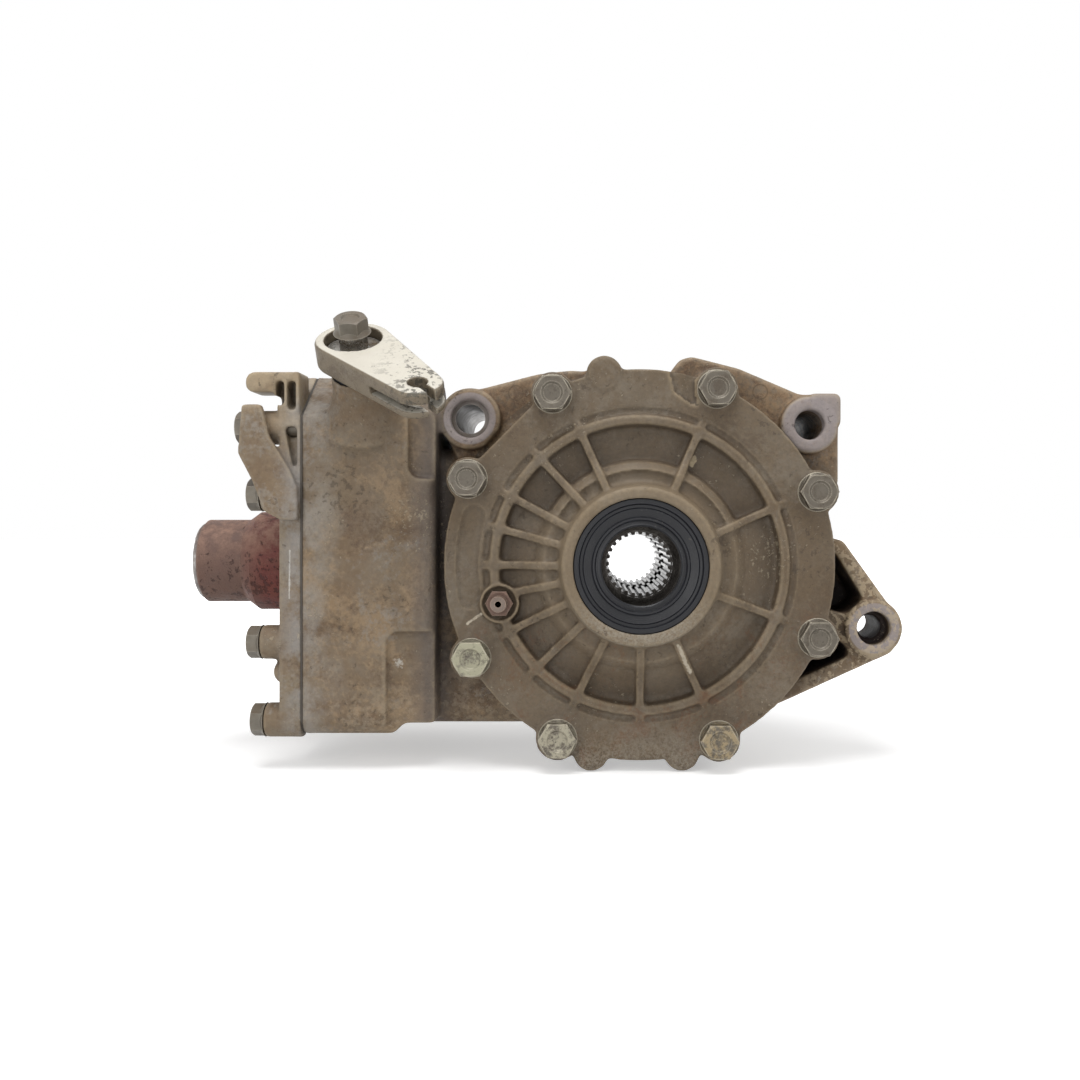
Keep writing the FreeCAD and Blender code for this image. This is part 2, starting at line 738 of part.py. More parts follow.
def turned_rib(angle_deg, ridge_y):
    """Return one radial rib of the cover, from the seal boss down to the ridge and across the groove."""
    half = cover_rib_width / 2
    start_r = seal_boss_r - 1.0
    rib_top_y = cover_cap_y - cover_rib_height * 0.45
    side = [(start_r, rib_top_y - 2.0), (cover_cap_r - 2.0, rib_top_y), (cover_cap_r + 6.0, ridge_y - 1.0),
            (cover_ridge_outer_r, ridge_y), (cover_groove_r + 0.5, cover_face_y),
            (cover_groove_r + 0.5, cover_inner_y),
            (start_r, cover_inner_y)]
    corners = [FreeCAD.Vector(radius, y, -half) for radius, y in side]
    rib = Part.Face(Part.makePolygon(corners + corners[:1])).extrude(Z_AXIS * cover_rib_width)
    rib.rotate(FreeCAD.Vector(0, 0, 0), Y_AXIS, -angle_deg)
    return rib


def slot_recess():
    """Return the shallow curved recess in the flange beside the breather."""
    middle_r = cover_groove_r + 1.4 + cover_recess_width / 2
    half = cover_recess_width / 2
    near_y = cover_face_y - 1.0
    far_y = cover_face_y + cover_recess_depth
    band = turned_sector([(middle_r - half, near_y), (middle_r + half, near_y), (middle_r + half, far_y),
                          (middle_r - half, far_y)], cover_recess_start, cover_recess_end)
    ends = []
    for angle in (cover_recess_start, cover_recess_end):
        x, z = polar(middle_r, angle)
        ends.append(round_y(half, near_y, far_y, x, z))
    return band.fuse(ends)


def make_cover_bolts():
    seat_y = cover_face_y - 0.6
    length = cover_flange_thickness + thread_engagement
    bolts = []
    for x, z in cover_bolt_places:
        bolts.append(flange_bolt(cover_bolt_r, length, cover_bolt_flange_r, cover_bolt_head_across,
                                 cover_bolt_head_height, FreeCAD.Vector(x, seat_y, z), -Y_AXIS))
    return Part.makeCompound(bolts)


def make_axle_seal(inner_y, outer_y):
    """Return a lip seal whose open face is at outer_y."""
    out = 1 if outer_y > inner_y else -1
    width = abs(outer_y - inner_y)
    rim_r = axle_seal_outer_r - press_gap
    lip_r = axle_seal_lip_r

    def level(depth):
        return outer_y - out * depth

    face = [(rim_r, level(0.4)), (rim_r - 0.5, level(0)), (rim_r - 2.2, level(0)), (rim_r - 2.8, level(1.2)),
            (rim_r - 3.8, level(1.4)), (rim_r - 4.3, level(0.9)), (lip_r + 4.0, level(2.0)),
            (lip_r + 3.5, level(1.4)), (lip_r + 2.8, level(1.4)), (lip_r + 2.2, level(2.2)),
            (lip_r + 0.6, level(1.6)), (lip_r, level(2.2))]
    back = [(lip_r + 1.4, level(width - 1.0)), (lip_r + 3.0, level(width - 1.0)), (lip_r + 3.4, level(4.2)),
            (rim_r - 1.6, level(4.2)), (rim_r - 1.6, level(width)), (rim_r, level(width))]
    return turned_y(face + back)


def make_breather():
    x, z = polar(breather_circle_r, breather_angle)
    seat_y = cover_face_y - 3.2 + breather_well_depth
    seat = FreeCAD.Vector(x, seat_y, z)
    stem = round_y(breather_stem_r - press_gap, seat_y, cover_inner_y, x, z)
    nut = hexagon_prism(breather_hex_across, 3.6, seat, -Y_AXIS)
    spigot = round_y(breather_spigot_r, seat_y - 8.0, seat_y, x, z)
    bore = round_y(breather_bore_r, seat_y - 9.0, cover_inner_y + 1.0, x, z)
    return joined([stem, nut, spigot]).cut(bore)


# Gear case
def plate_outline():
    """Return the upper plate that carries the two top eyes, with its lug between the cover's upper bolts."""
    corner_x = right_eye_x + right_eye_corner
    corner_z = right_eye_z + right_eye_corner
    left_end = [(left_eye_x - 11.0, left_eye_z - 7.0, 3.0), (left_eye_x - 9.0, left_eye_z + 8.0, 6.0),
                (left_eye_x + 3.4, left_eye_z + left_eye_r, 4.0)]
    right_end = [(right_eye_x - 2.8, corner_z, 4.0), (corner_x, corner_z, 2.0), (corner_x, 34.0, 2.0)]
    return left_end + list(plate_crest) + right_end + [(60.0, 10.0, 2.0), (-60.0, 10.0, 2.0)]


def bracket_outline():
    """Return the rear bracket's outline, from the round housing out to the rear eye and back."""
    upper = [(case_shell_r - 22.0, 16.0), (88.6, 10.2)]
    eye = [(rear_eye_x + 10.6, rear_eye_z + 5.6), (rear_eye_x + 9.0, rear_eye_z - 10.6)]
    lower = [(59.8, -61.2), (40.0, -58.0)]
    return [(x, z, 4.0) for x, z in upper + eye + lower]


def make_bracket():
    near_y = cover_joint_y + 2.0
    far_y = near_y + bracket_thickness
    body = slab_y(bracket_outline(), near_y, far_y)
    body = body.fuse(round_y(rear_eye_r, near_y - rear_eye_proud, far_y, rear_eye_x, rear_eye_z))
    pocket_far_y = far_y - bracket_floor
    upper = slab_y(bracket_upper_pocket, near_y - 1.0, pocket_far_y)
    lower = slab_y(bracket_lower_pocket, near_y - 1.0, pocket_far_y)
    return body.cut([upper, lower])


def eye_body(x, z, radius, far_y):
    """Return one top eye's tube with the web that ties it to the round housing."""
    tube = round_y(radius, eye_near_y, far_y, x, z)
    reach = math.hypot(x, z)
    web = Part.makeBox(reach, far_y - cover_joint_y - 4.0, 8.0, FreeCAD.Vector(0, cover_joint_y + 2.0, -4.0))
    web.rotate(FreeCAD.Vector(0, 0, 0), Y_AXIS, -math.degrees(math.atan2(z, x)))
    return [tube, web]


def box_corners(inset=0.0):
    """Return the brake box's (y, z) outline; its upper near corner is cut square to the lever's shaft."""
    y_near = box_near_y + inset
    y_far = box_far_y - inset
    z_low = box_bottom_z + inset
    z_high = box_top_z - inset
    height = lever_flat_height - inset
    sine = math.sin(lever_lean)
    cosine = math.cos(lever_lean)
    ridge_z = lever_ridge_z - inset
    chamfer_z = (height + (y_near - pinion_line_y) * sine) / cosine
    chamfer_y = pinion_line_y + (ridge_z * cosine - height) / sine
    ridge_y = chamfer_y + lever_ridge_width
    foot_y = ridge_y + ridge_z - z_high
    rounding = max(box_corner_r - inset, 2.0)
    return [(y_near, z_low, rounding), (y_far, z_low, rounding), (y_far, z_high, rounding),
            (foot_y, z_high, 4.0),
            (ridge_y, ridge_z, 4.0), (chamfer_y, ridge_z, 3.0), (y_near, chamfer_z, 3.0)]


def make_box():
    """Return the brake box's outside, with its rounded rear rim and the sunk fields of its near side."""
    box = slab_x(box_corners(), joint_x, box_rear_x)
    rim = [edge for edge in box.Edges if edge.BoundBox.XMin > box_rear_x - 1e-6]
    box = box.makeFillet(box_rear_round, rim)
    past_x = box_rear_x + 2.0
    near_y = box_near_y - 1.0
    low_z = box_bottom_z - 2.0
    step = slab_y([(box_step_x, box_step_z, 5.0), (past_x, box_step_z, 0.0),
                   (past_x, lever_ridge_z + 2.0, 0.0),
                   (box_step_x, lever_ridge_z + 2.0, 0.0)], near_y, box_near_y + box_step_depth)
    ledge = slab_y([(box_ledge_x, low_z, 0.0), (past_x, low_z, 0.0), (past_x, box_ledge_z, 0.0),
                    (box_ledge_x, box_ledge_z, 5.0)], near_y, box_near_y + box_ledge_depth)
    heel = slab_y([(box_ledge_x, low_z, 0.0), (past_x, low_z, 0.0), (past_x, box_heel_z, 0.0),
                   (box_ledge_x + box_heel_z - low_z, box_heel_z, 3.0)], near_y, box_far_y + 1.0)
    mark = round_y(box_mark_r, box_near_y - box_mark_proud, box_near_y + 1.0, box_mark_x, box_mark_z)
    return box.cut([step, ledge, heel]).fuse(mark)


def steel_lugs(x_from, x_to, extra=0.0):
    """Return the square lugs of the steel brake plates or, with extra, the grooves that hold them."""
    lugs = []
    for angle in steel_lug_angles:
        lug = Part.makeBox(x_to - x_from, steel_lug_width + 2 * extra, 8.0 + extra,
                           FreeCAD.Vector(x_from, -steel_lug_width / 2 - extra,
                                          chamber_r + steel_lug_height - 8.0))
        lug.rotate(FreeCAD.Vector(0, 0, 0), X_AXIS, angle)
        lug.translate(Y_AXIS * pinion_line_y)
        lugs.append(lug)
    return lugs


def cam_ear_room(x_from, x_to):
    """Return the room that the cam plate's ear swings in, below the lever's shaft."""
    return to_lever(Part.makeBox(x_to - x_from, 2 * cam_ear_reach, lever_foot_top - chamber_r + 10.0,
                                 FreeCAD.Vector(x_from - lever_x, -cam_ear_reach, chamber_r - 10.0)))


def make_gear_case():
    far_shell_y = drum_end_y - 2.0
    bowl = turned_y([(0, cover_joint_y), (case_shell_r, cover_joint_y), (case_shell_r, cavity_straight_y),
                     (case_far_slope_r, far_shell_y - 6.0), (case_far_slope_r - 5.0, far_shell_y),
                     (bearing_outer_r + 8.0, far_shell_y + 5.0), (bearing_outer_r + 6.0,
                                                                  right_bearing_out_y + 3.0),
                     (seal_boss_r + 1.5, right_bearing_out_y + 7.0), (seal_boss_r, case_boss_y),
                     (0, case_boss_y)])
    flange = cover_outline(cover_joint_y, case_flange_far_y)
    plate_near_y = cover_joint_y + top_plate_setback
    plate = slab_y(plate_outline(), plate_near_y, plate_near_y + top_plate_thickness)
    neck_near_y = cover_joint_y + neck_near_setback
    neck = slab_x([(neck_near_y, neck_bottom_z, 8.0), (box_far_y - 8.0, neck_bottom_z, 12.0),
                   (box_far_y - 8.0, neck_top_z, 12.0), (neck_near_y, neck_top_z, 8.0)], box_rear_x - 8.0,
                  -34.0)
    corner_block = slab_y([(right_eye_x, right_eye_z, 0.5),
                           (right_eye_x + right_eye_corner, right_eye_z, 0.5),
                           (right_eye_x + right_eye_corner, right_eye_z + right_eye_corner, 2.0),
                           (right_eye_x, right_eye_z + right_eye_corner, 2.0)], eye_near_y, eye_far_y)
    lever_neck = lever_round(lever_neck_r, cam_guide_r + 14.0, lever_neck_top)
    shoulder = Part.makeCone(lever_shoulder_r, lever_neck_r, lever_shoulder_rise,
                             lever_spot(lever_shoulder_height),
                             lever_axis)
    underside = Part.makeCone(lever_shoulder_r * 0.5, lever_shoulder_r, lever_shoulder_fall,
                              lever_spot(lever_shoulder_height - lever_shoulder_fall), lever_axis)
    drain_boss = round_z(plug_boss_r, -case_shell_r - 3.0, -case_shell_r + 8.0, drain_x, drain_y)
    filler_boss = round_x(plug_boss_r, case_shell_r - 14.0, case_shell_r + 4.0, filler_y, filler_z)
    body = bowl.fuse([flange, plate, make_box(), neck, corner_block, lever_neck, shoulder, underside,
                      make_bracket(),
                      drain_boss, filler_boss]
                     + eye_body(left_eye_x, left_eye_z, left_eye_r, eye_far_y)
                     + eye_body(right_eye_x, right_eye_z, right_eye_r, eye_far_y))
    cuts = [
        turned_y([(0, cover_joint_y), (cavity_r, cover_joint_y), (cavity_r, cavity_straight_y),
                  (case_far_slope_r - case_wall, far_shell_y - 8.0), (drum_clearance_r, far_shell_y - 2.0),
                  (drum_clearance_r, right_bearing_in_y - 0.01), (0, right_bearing_in_y - 0.01)]),
        round_y(bearing_outer_r, right_bearing_in_y - 1.0, right_bearing_out_y),
        round_y(bearing_outer_r - bearing_shoulder, right_bearing_out_y, right_bearing_out_y + 1.0),
        round_y(axle_seal_outer_r - seal_shoulder, right_bearing_out_y, right_seal_in_y),
        round_y(axle_seal_outer_r, right_seal_in_y, case_boss_y),
        round_x(pinion_bearing_outer_r, chamber_rear_x, pinion_bearing_rear_x),
        round_x(pinion_bearing_outer_r + circlip_depth, circlip_front_x - 0.1, pinion_bearing_front_x + 0.1),
        round_x(pinion_bearing_outer_r - shaft_bearing_shoulder, pinion_bearing_rear_x, -ring_pitch_r + 12.0),
        round_x(chamber_r, joint_x, chamber_rear_x),
        cam_ear_room(joint_x, lever_x + cam_shaft_foot_r + 1.0),
        lever_round(cam_shaft_r + running_gap, lever_foot_top - 1.0, lever_top),
        lever_round(cam_seal_r, lever_neck_top - 6.0, lever_top),
        round_y(sleeve_bore_r + sleeve_wall, eye_near_y, eye_far_y, left_eye_x, left_eye_z),
        round_y(right_eye_bore_r, eye_near_y, eye_far_y, right_eye_x, right_eye_z),
        round_y(rear_eye_bore_r, cover_joint_y - 4.0, eye_far_y, rear_eye_x, rear_eye_z),
        round_y(rear_eye_counterbore_r, cover_joint_y - 4.0,
                cover_joint_y + 2.0 - rear_eye_proud + rear_eye_counterbore_depth, rear_eye_x, rear_eye_z),
        round_y(cover_edge_r + free_gap, eye_near_y - 1.0, cover_joint_y),
        round_z(plug_r + press_gap, -case_shell_r - 4.0, -cavity_r + 1.0, drain_x, drain_y),
        round_x(plug_r + press_gap, cavity_r - 8.0, case_shell_r + 5.0, filler_y, filler_z),
    ] + steel_lugs(joint_x, chamber_rear_x, free_gap / 2)
    for x, z in cover_bolt_places:
        cuts.append(round_y(cover_bolt_r + press_gap, cover_joint_y, cover_joint_y + thread_engagement + 1.0,
                            x, z))
    for angle in dowel_angles:
        x, z = polar(dowel_circle_r, angle)
        cuts.append(round_y(dowel_r + press_gap, cover_joint_y, cover_joint_y + dowel_length / 2, x, z))
    for y, z in front_bolt_places:
        cuts.append(round_x(front_bolt_r + press_gap, joint_x, joint_x + thread_engagement + 1.0, y, z))
    cuts.append(turned_y([(o_ring_mid_r - o_ring_r - 0.2, cover_joint_y),
                          (o_ring_mid_r + o_ring_r + 0.2, cover_joint_y),
                          (o_ring_mid_r + o_ring_r + 0.2, cover_joint_y + 2 * o_ring_r + 0.1),
                          (o_ring_mid_r - o_ring_r - 0.2, cover_joint_y + 2 * o_ring_r + 0.1)]))
    return body.cut(cuts).removeSplitter()


# Front cover
def make_front_fin():
    """Return the fin in front of the near bolts, swept from its top block down to the cover's edge."""
    face_x = front_face_x
    rear_x = cover_rear_x - 0.3
    far_y = front_fin_near_y + front_fin_thickness
    sheet = slab_y([(face_x - 14.6, front_fin_top_z, 1.5), (face_x - 6.2, front_fin_top_z, 2.0),
                    (face_x - 2.9, front_fin_elbow_z + 6.5, 3.0), (face_x + 5.5, front_fin_elbow_z - 7.0,
                                                                   3.0),
                    (rear_x, front_fin_low_z + 13.0, 0.5), (rear_x, front_fin_low_z, 1.0),
                    (face_x + 1.7, front_fin_low_z, 2.0), (face_x - 5.3, front_fin_low_z + 3.6, 4.0),
                    (face_x - 10.2, front_fin_elbow_z - 11.7, 3.0), (face_x - front_fin_reach,
                                                                     front_fin_elbow_z, 2.5)],
                   front_fin_near_y, far_y)
    root = slab_y([(face_x - 2.0, front_fin_low_z + 3.0, 1.0), (rear_x, front_fin_low_z + 1.0, 1.0),
                   (rear_x, front_fin_low_z + 12.0, 1.0), (face_x + 4.0, front_fin_elbow_z - 6.0, 1.0),
                   (face_x - 2.0, front_fin_elbow_z + 2.0, 1.0)], far_y - 0.5, box_near_y + 4.0)
    return [sheet, root]


def make_front_arm():
    """Return the arm above the fin, with the pockets that lighten it."""
    face_x = front_face_x
    rear_x = cover_rear_x - 0.3
    low_z = front_arm_top_z - front_arm_height
    arm = slab_y([(face_x - front_arm_reach, low_z, 3.5), (face_x - 1.8, low_z, 2.0),
                  (face_x - 0.2, low_z - 12.0, 2.0),
                  (rear_x, low_z - 26.0, 0.5), (rear_x, front_arm_top_z, 1.0),
                  (face_x - front_arm_reach, front_arm_top_z, 4.0)], box_near_y, box_near_y + front_arm_depth)
    near_y = box_near_y - 1.0
    far_y = box_near_y + front_pocket_depth
    top_z = front_arm_top_z - 3.6
    narrow = slab_y([(face_x - 1.3, low_z - 5.5, 1.2), (face_x + 2.0, low_z - 5.5, 1.2),
                     (face_x + 2.0, top_z, 1.2),
                     (face_x - 1.3, top_z, 1.2)], near_y, far_y)
    wide = slab_y([(face_x + 3.4, low_z - 7.5, 1.2), (face_x + 7.0, low_z - 7.5, 1.2),
                   (face_x + 7.0, top_z, 1.2),
                   (face_x + 3.4, top_z, 1.2)], near_y, far_y)
    return arm.cut([narrow, wide])


def make_front_cover():
    plate = slab_x(box_corners(), front_face_x, cover_rear_x)
    boss = round_x(front_bearing_outer_r + 10.0, cover_rear_x, cam_front_x - plate_gap)
    guide = round_x(cam_guide_r, cover_rear_x, front_bearing_rear_x)
    seal_ring = turned_x([(0, front_face_x - 3.0), (input_seal_outer_r + 5.0, front_face_x - 3.0),
                          (input_seal_outer_r + 7.0, front_face_x), (0, front_face_x)])
    bosses = []
    for (y, z), seat_x in zip(front_bolt_places, front_bolt_seats):
        bosses.append(round_x(front_bolt_boss_r, seat_x, cover_rear_x, y, z))
    bump = Part.makeSphere(front_bump_r, FreeCAD.Vector(front_face_x + 1.5, front_near_bolt_y, front_bump_z))
    long_pocket = slab_y([(front_face_x + 5.6, 41.0, 1.0), (cover_rear_x - 1.6, 41.0, 0.8),
                          (cover_rear_x - 1.6, 58.0, 0.8),
                          (front_face_x + 2.4, 58.0, 1.0)], box_near_y - 1.0, box_near_y + 4.5)
    body = plate.fuse([boss, guide, seal_ring, make_front_arm(), bump] + bosses)
    body = body.cut(long_pocket).fuse(make_front_fin())
    past_x = front_face_x - front_fin_reach - 4.0
    cuts = [
        round_x(front_bearing_outer_r, front_bearing_front_x, front_bearing_rear_x + 1.0),
        round_x(front_bearing_outer_r - shaft_bearing_shoulder, front_bearing_front_x - 1.0,
                front_bearing_front_x),
        round_x(input_seal_outer_r - 3.5, front_face_x, front_bearing_front_x),
        round_x(input_seal_outer_r, front_face_x - 4.0, input_seal_rear_x),
    ]
    for (y, z), seat_x in zip(front_bolt_places, front_bolt_seats):
        cuts.append(round_x(front_bolt_r + bolt_gap, past_x, cover_rear_x, y, z))
        cuts.append(round_x(front_bolt_flange_r + 0.8, past_x, seat_x, y, z))
    return body.cut(cuts).removeSplitter()


def make_front_gasket():
    sheet = slab_x(box_corners(0.3), cover_rear_x, joint_x)
    holes = [round_x(chamber_r + 0.3, cover_rear_x, joint_x)]
    for y, z in front_bolt_places:
        holes.append(round_x(front_bolt_r + bolt_gap, cover_rear_x, joint_x, y, z))
    holes.append(cam_ear_room(cover_rear_x, joint_x))
    return sheet.cut(holes + steel_lugs(cover_rear_x, joint_x, free_gap / 2))


def make_front_bolts():
    bolts = []
    for (y, z), seat_x in zip(front_bolt_places, front_bolt_seats):
        length = joint_x - seat_x + thread_engagement
        bolts.append(flange_bolt(front_bolt_r, length, front_bolt_flange_r, front_bolt_head_across,
                                 front_bolt_head_height, FreeCAD.Vector(seat_x, y, z), -X_AXIS))
    return Part.makeCompound(bolts)


# Bearings
def roller_bearing(bore_r, outer_r, race_wall, low, high, turned, roller):
    """Return a roller bearing's outer race, inner race and rollers, between the levels low and high."""
    pitch_r = (bore_r + outer_r) / 2
    roller_r = (outer_r - bore_r) / 2 - race_wall
    lip_r = pitch_r + roller_r - race_lip_height
    track_r = pitch_r + roller_r + running_gap
    outer = turned([(outer_r - press_gap, low), (outer_r - press_gap, high), (lip_r, high),
                    (lip_r, high - race_lip),
                    (track_r, high - race_lip), (track_r, low + race_lip), (lip_r, low + race_lip),
                    (lip_r, low)])
    inner = turned([(bore_r + press_gap, low), (bore_r + press_gap, high),
                    (pitch_r - roller_r - running_gap, high),
                    (pitch_r - roller_r - running_gap, low)])
    count = int(2 * math.pi * pitch_r / (roller_r * roller_spacing))
    rollers = []
    for step in range(count):
        angle = 2 * math.pi * step / count
        rollers.append(roller(roller_r, low + race_lip + running_gap, high - race_lip - running_gap,
                              pitch_r * math.cos(angle), pitch_r * math.sin(angle)))
    return outer, inner, Part.makeCompound(rollers)


def carrier_bearing(y_from, y_to):
    return roller_bearing(bearing_bore_r, bearing_outer_r, bearing_race_wall, y_from, y_to, turned_y, round_y)


def roller_x(radius, x_from, x_to, across, up):
    return round_x(radius, x_from, x_to, pinion_line_y + across, up)


def shaft_bearing(bore_r, outer_r, race_wall, x_from, x_to):
    return roller_bearing(bore_r, outer_r, race_wall, x_from, x_to, turned_x, roller_x)


# Carrier and differential gears
def make_carrier_cap():
    trunnion_y = left_bearing_out_y
    body = turned_y([(hub_bore_r, trunnion_y + 0.2), (bearing_bore_r - 0.8, trunnion_y + 0.2),
                     (bearing_bore_r, trunnion_y + 1.0), (bearing_bore_r, left_bearing_in_y),
                     (bearing_bore_r + 4.5, left_bearing_in_y), (bearing_bore_r + 6.0, flange_near_y),
                     (carrier_flange_r, flange_near_y), (carrier_flange_r, ring_back_y),
                     (drum_bore_r - running_gap, ring_back_y), (drum_bore_r - running_gap, drum_left_seat_y),
                     (hub_bore_r, drum_left_seat_y)])
    holes = []
    for x, z in ring_bolt_places:
        holes.append(round_y(ring_bolt_r + bolt_gap, flange_near_y, ring_back_y, x, z))
    for x, z in carrier_screw_places:
        holes.append(round_y(carrier_screw_r + press_gap, flange_near_y, ring_back_y, x, z))
        holes.append(Part.makeCone(carrier_screw_r + 2.6, carrier_screw_r + press_gap, 3.0,
                                   FreeCAD.Vector(x, flange_near_y, z), Y_AXIS))
    return body.cut(holes)


def make_carrier_screws():
    screws = []
    for x, z in carrier_screw_places:
        head = Part.makeCone(carrier_screw_r + 2.4, carrier_screw_r, 2.8,
                             FreeCAD.Vector(x, flange_near_y + 0.1, z), Y_AXIS)
        shank = round_y(carrier_screw_r, flange_near_y + 1.0, ring_back_y + 10.0, x, z)
        socket = hexagon_prism(2.8, 2.0, FreeCAD.Vector(x, flange_near_y, z), Y_AXIS)
        screws.append(head.fuse(shank).cut(socket))
    return Part.makeCompound(screws)


def make_carrier_drum():
    spigot_r = ring_bore_r - press_gap
    body = turned_y([(drum_bore_r, ring_back_y), (spigot_r, ring_back_y), (spigot_r, ring_back_y + 11.0),
                     (drum_r, ring_back_y + 11.5), (drum_r, drum_end_y - 6.0), (drum_r - 6.0, drum_end_y),
                     (bearing_bore_r + 4.5, drum_end_y), (bearing_bore_r + 4.5, right_bearing_in_y),
                     (bearing_bore_r, right_bearing_in_y), (bearing_bore_r, right_bearing_out_y - 1.0),
                     (bearing_bore_r - 0.8, right_bearing_out_y), (hub_bore_r, right_bearing_out_y),
                     (hub_bore_r, drum_right_seat_y), (drum_bore_r, drum_right_seat_y)])
    cuts = []
    for up in (1, -1):
        cuts.append(Part.makeCylinder(spider_tip_r + 1.0, spider_seat, FreeCAD.Vector(0, centre_y, 0),
                                      Z_AXIS * up))
        cuts.append(Part.makeCylinder(spider_pin_r + press_gap, drum_r + 5.0, FreeCAD.Vector(0, centre_y, 0),
                                      Z_AXIS * up))
        window = Part.makeBox(drum_r + 5.0, carrier_window_length, carrier_window_width,
                              FreeCAD.Vector(0, centre_y - carrier_window_length / 2,
                                             -carrier_window_width / 2))
        if up < 0:
            window.rotate(FreeCAD.Vector(0, 0, 0), Y_AXIS, 180)
        cuts.append(window)
    for x, z in carrier_screw_places:
        cuts.append(round_y(carrier_screw_r + press_gap, ring_back_y, ring_back_y + 10.5, x, z))
    return body.cut(cuts).removeSplitter()


def make_ring_gear():
    top_level = ring_back_depth + pinion_pitch_r + 2.0
    cone = bevel_teeth(ring_teeth, pinion_teeth, gear_module, gear_pressure_deg, ring_addendum,
                       pinion_addendum,
                       gear_backlash, 5.0, top_level)
    half_pitch = 180 / ring_teeth
    cone = placed(cone, Z_AXIS, 180 + half_pitch, FreeCAD.Vector(0, 0, 0))
    cone = placed(cone, X_AXIS, 90, FreeCAD.Vector(0, pinion_line_y, 0))
    blank = turned_y([(ring_bore_r, ring_back_y), (ring_outer_r - 1.0, ring_back_y),
                      (ring_outer_r, ring_back_y + 1.0),
                      (ring_outer_r, pinion_line_y - 6.0), (ring_bore_r + 1.6, pinion_line_y - 6.0),
                      (ring_bore_r + 1.6, ring_back_y + 12.0), (ring_bore_r, ring_back_y + 10.5)])
    gear = blank.common(cone)
    holes = []
    for x, z in ring_bolt_places:
        holes.append(round_y(ring_bolt_r + press_gap, ring_back_y, ring_back_y + ring_bolt_depth, x, z))
    return gear.cut(holes)


def make_ring_bolts():
    bolts = []
    length = carrier_flange_thickness + ring_bolt_depth - 0.5
    for x, z in ring_bolt_places:
        bolts.append(flange_bolt(ring_bolt_r, length, 6.2, 10.0, 4.6, FreeCAD.Vector(x, flange_near_y, z),
                                 -Y_AXIS))
    return Part.makeCompound(bolts)


def make_side_gear():
    """Return a side gear along +Z whose cone's tip is the origin, with its hub pointing up."""
    level = spider_pitch_r
    share = 1 - side_gear_face_width / math.hypot(side_pitch_r, spider_pitch_r)
    back = level + side_gear_back_depth
    cone = bevel_teeth(side_teeth, spider_teeth, side_gear_module, gear_pressure_deg, side_gear_addendum,
                       side_gear_addendum, side_gear_backlash, 3.0, back + 2.0)
    sine = math.sin(side_cone)
    cosine = math.cos(side_cone)
    beyond = side_gear_module * 1.6
    outer_tip = (side_pitch_r + beyond * cosine, level - beyond * sine)
    inner_tip = (side_pitch_r * share + beyond * cosine * share, (level - beyond * sine) * share)
    blank = solid_of_turn([(0, inner_tip[1]), inner_tip, outer_tip, (side_pitch_r - 2.0, level + 6.0),
                           (side_pitch_r - 2.0, back), (0, back)])
    body = blank.common(cone).fuse(Part.makeCylinder(side_gear_hub_r, centre_y - back + 1.0,
                                                     FreeCAD.Vector(0, 0, back - 1.0)))
    return body


def solid_of_turn(profile):
    """Turn a closed profile of (radius, height) corners about the Z axis through the origin."""
    corners = [FreeCAD.Vector(radius, 0, height) for radius, height in profile]
    return Part.Face(Part.makePolygon(corners + corners[:1])).revolve(FreeCAD.Vector(0, 0, 0), Z_AXIS, 360)


def make_left_side_gear():
    """Left side gear: tooth spaces meet the spiders at the top and the bottom."""
    body = make_side_gear()
    half_pitch = 180 / side_teeth
    body = placed(body, Z_AXIS, 90 + half_pitch, FreeCAD.Vector(0, 0, 0))
    gear = placed(body, X_AXIS, 90, gear_centre)
    cuts = [spline_hole(axle_spline_outer_r, axle_spline_inner_r, axle_spline_teeth, axle_pilot_depth - 0.01,
                        centre_y, FreeCAD.Vector(0, 0, 0), Y_AXIS),
            round_y(axle_pilot_r, -1.0, axle_pilot_depth)]
    return gear.cut(cuts).removeSplitter()


def make_right_side_gear():
    body = make_side_gear()
    half_pitch = 180 / side_teeth
    body = placed(body, Z_AXIS, 90 + half_pitch, FreeCAD.Vector(0, 0, 0))
    gear = placed(body, X_AXIS, -90, gear_centre)
    cuts = [spline_hole(axle_spline_outer_r, axle_spline_inner_r, axle_spline_teeth, centre_y,
                        right_mouth_y - axle_pilot_depth + 0.01, FreeCAD.Vector(0, 0, 0), Y_AXIS),
            round_y(axle_pilot_r, right_mouth_y - axle_pilot_depth, right_mouth_y + 1.0)]
    return gear.cut(cuts).removeSplitter()


def make_spider_gear(up):
    level = side_pitch_r
    share = 1 - side_gear_face_width / math.hypot(side_pitch_r, spider_pitch_r)
    back = level + spider_back_depth
    cone = bevel_teeth(spider_teeth, side_teeth, side_gear_module, gear_pressure_deg, side_gear_addendum,
                       side_gear_addendum, side_gear_backlash, 12.0, back + 2.0)
    sine = math.sin(spider_cone)
    cosine = math.cos(spider_cone)
    beyond = side_gear_module * 1.6
    blank = solid_of_turn([(0, level * share - 0.6), (spider_pitch_r * share + beyond * cosine,
                                                      level * share - 0.6),
                           (spider_pitch_r + beyond * cosine, level - beyond * sine),
                           (spider_pitch_r - beyond * cosine * 0.4, back), (0, back)])
    gear = blank.common(cone).cut(Part.makeCylinder(spider_pin_r + running_gap, back + 5.0))
    gear = placed(gear, Z_AXIS, 90, FreeCAD.Vector(0, 0, 0))
    if up < 0:
        gear = placed(gear, X_AXIS, 180, FreeCAD.Vector(0, 0, 0))
    gear.translate(gear_centre)
    return gear


def make_spider_pins():
    share = 1 - side_gear_face_width / math.hypot(side_pitch_r, spider_pitch_r)
    start = side_pitch_r * share - 1.0
    pins = []
    for up in (1, -1):
        pins.append(Part.makeCylinder(spider_pin_r, drum_r - 0.5 - start,
                                      FreeCAD.Vector(0, centre_y, start * up), Z_AXIS * up))
    return Part.makeCompound(pins)


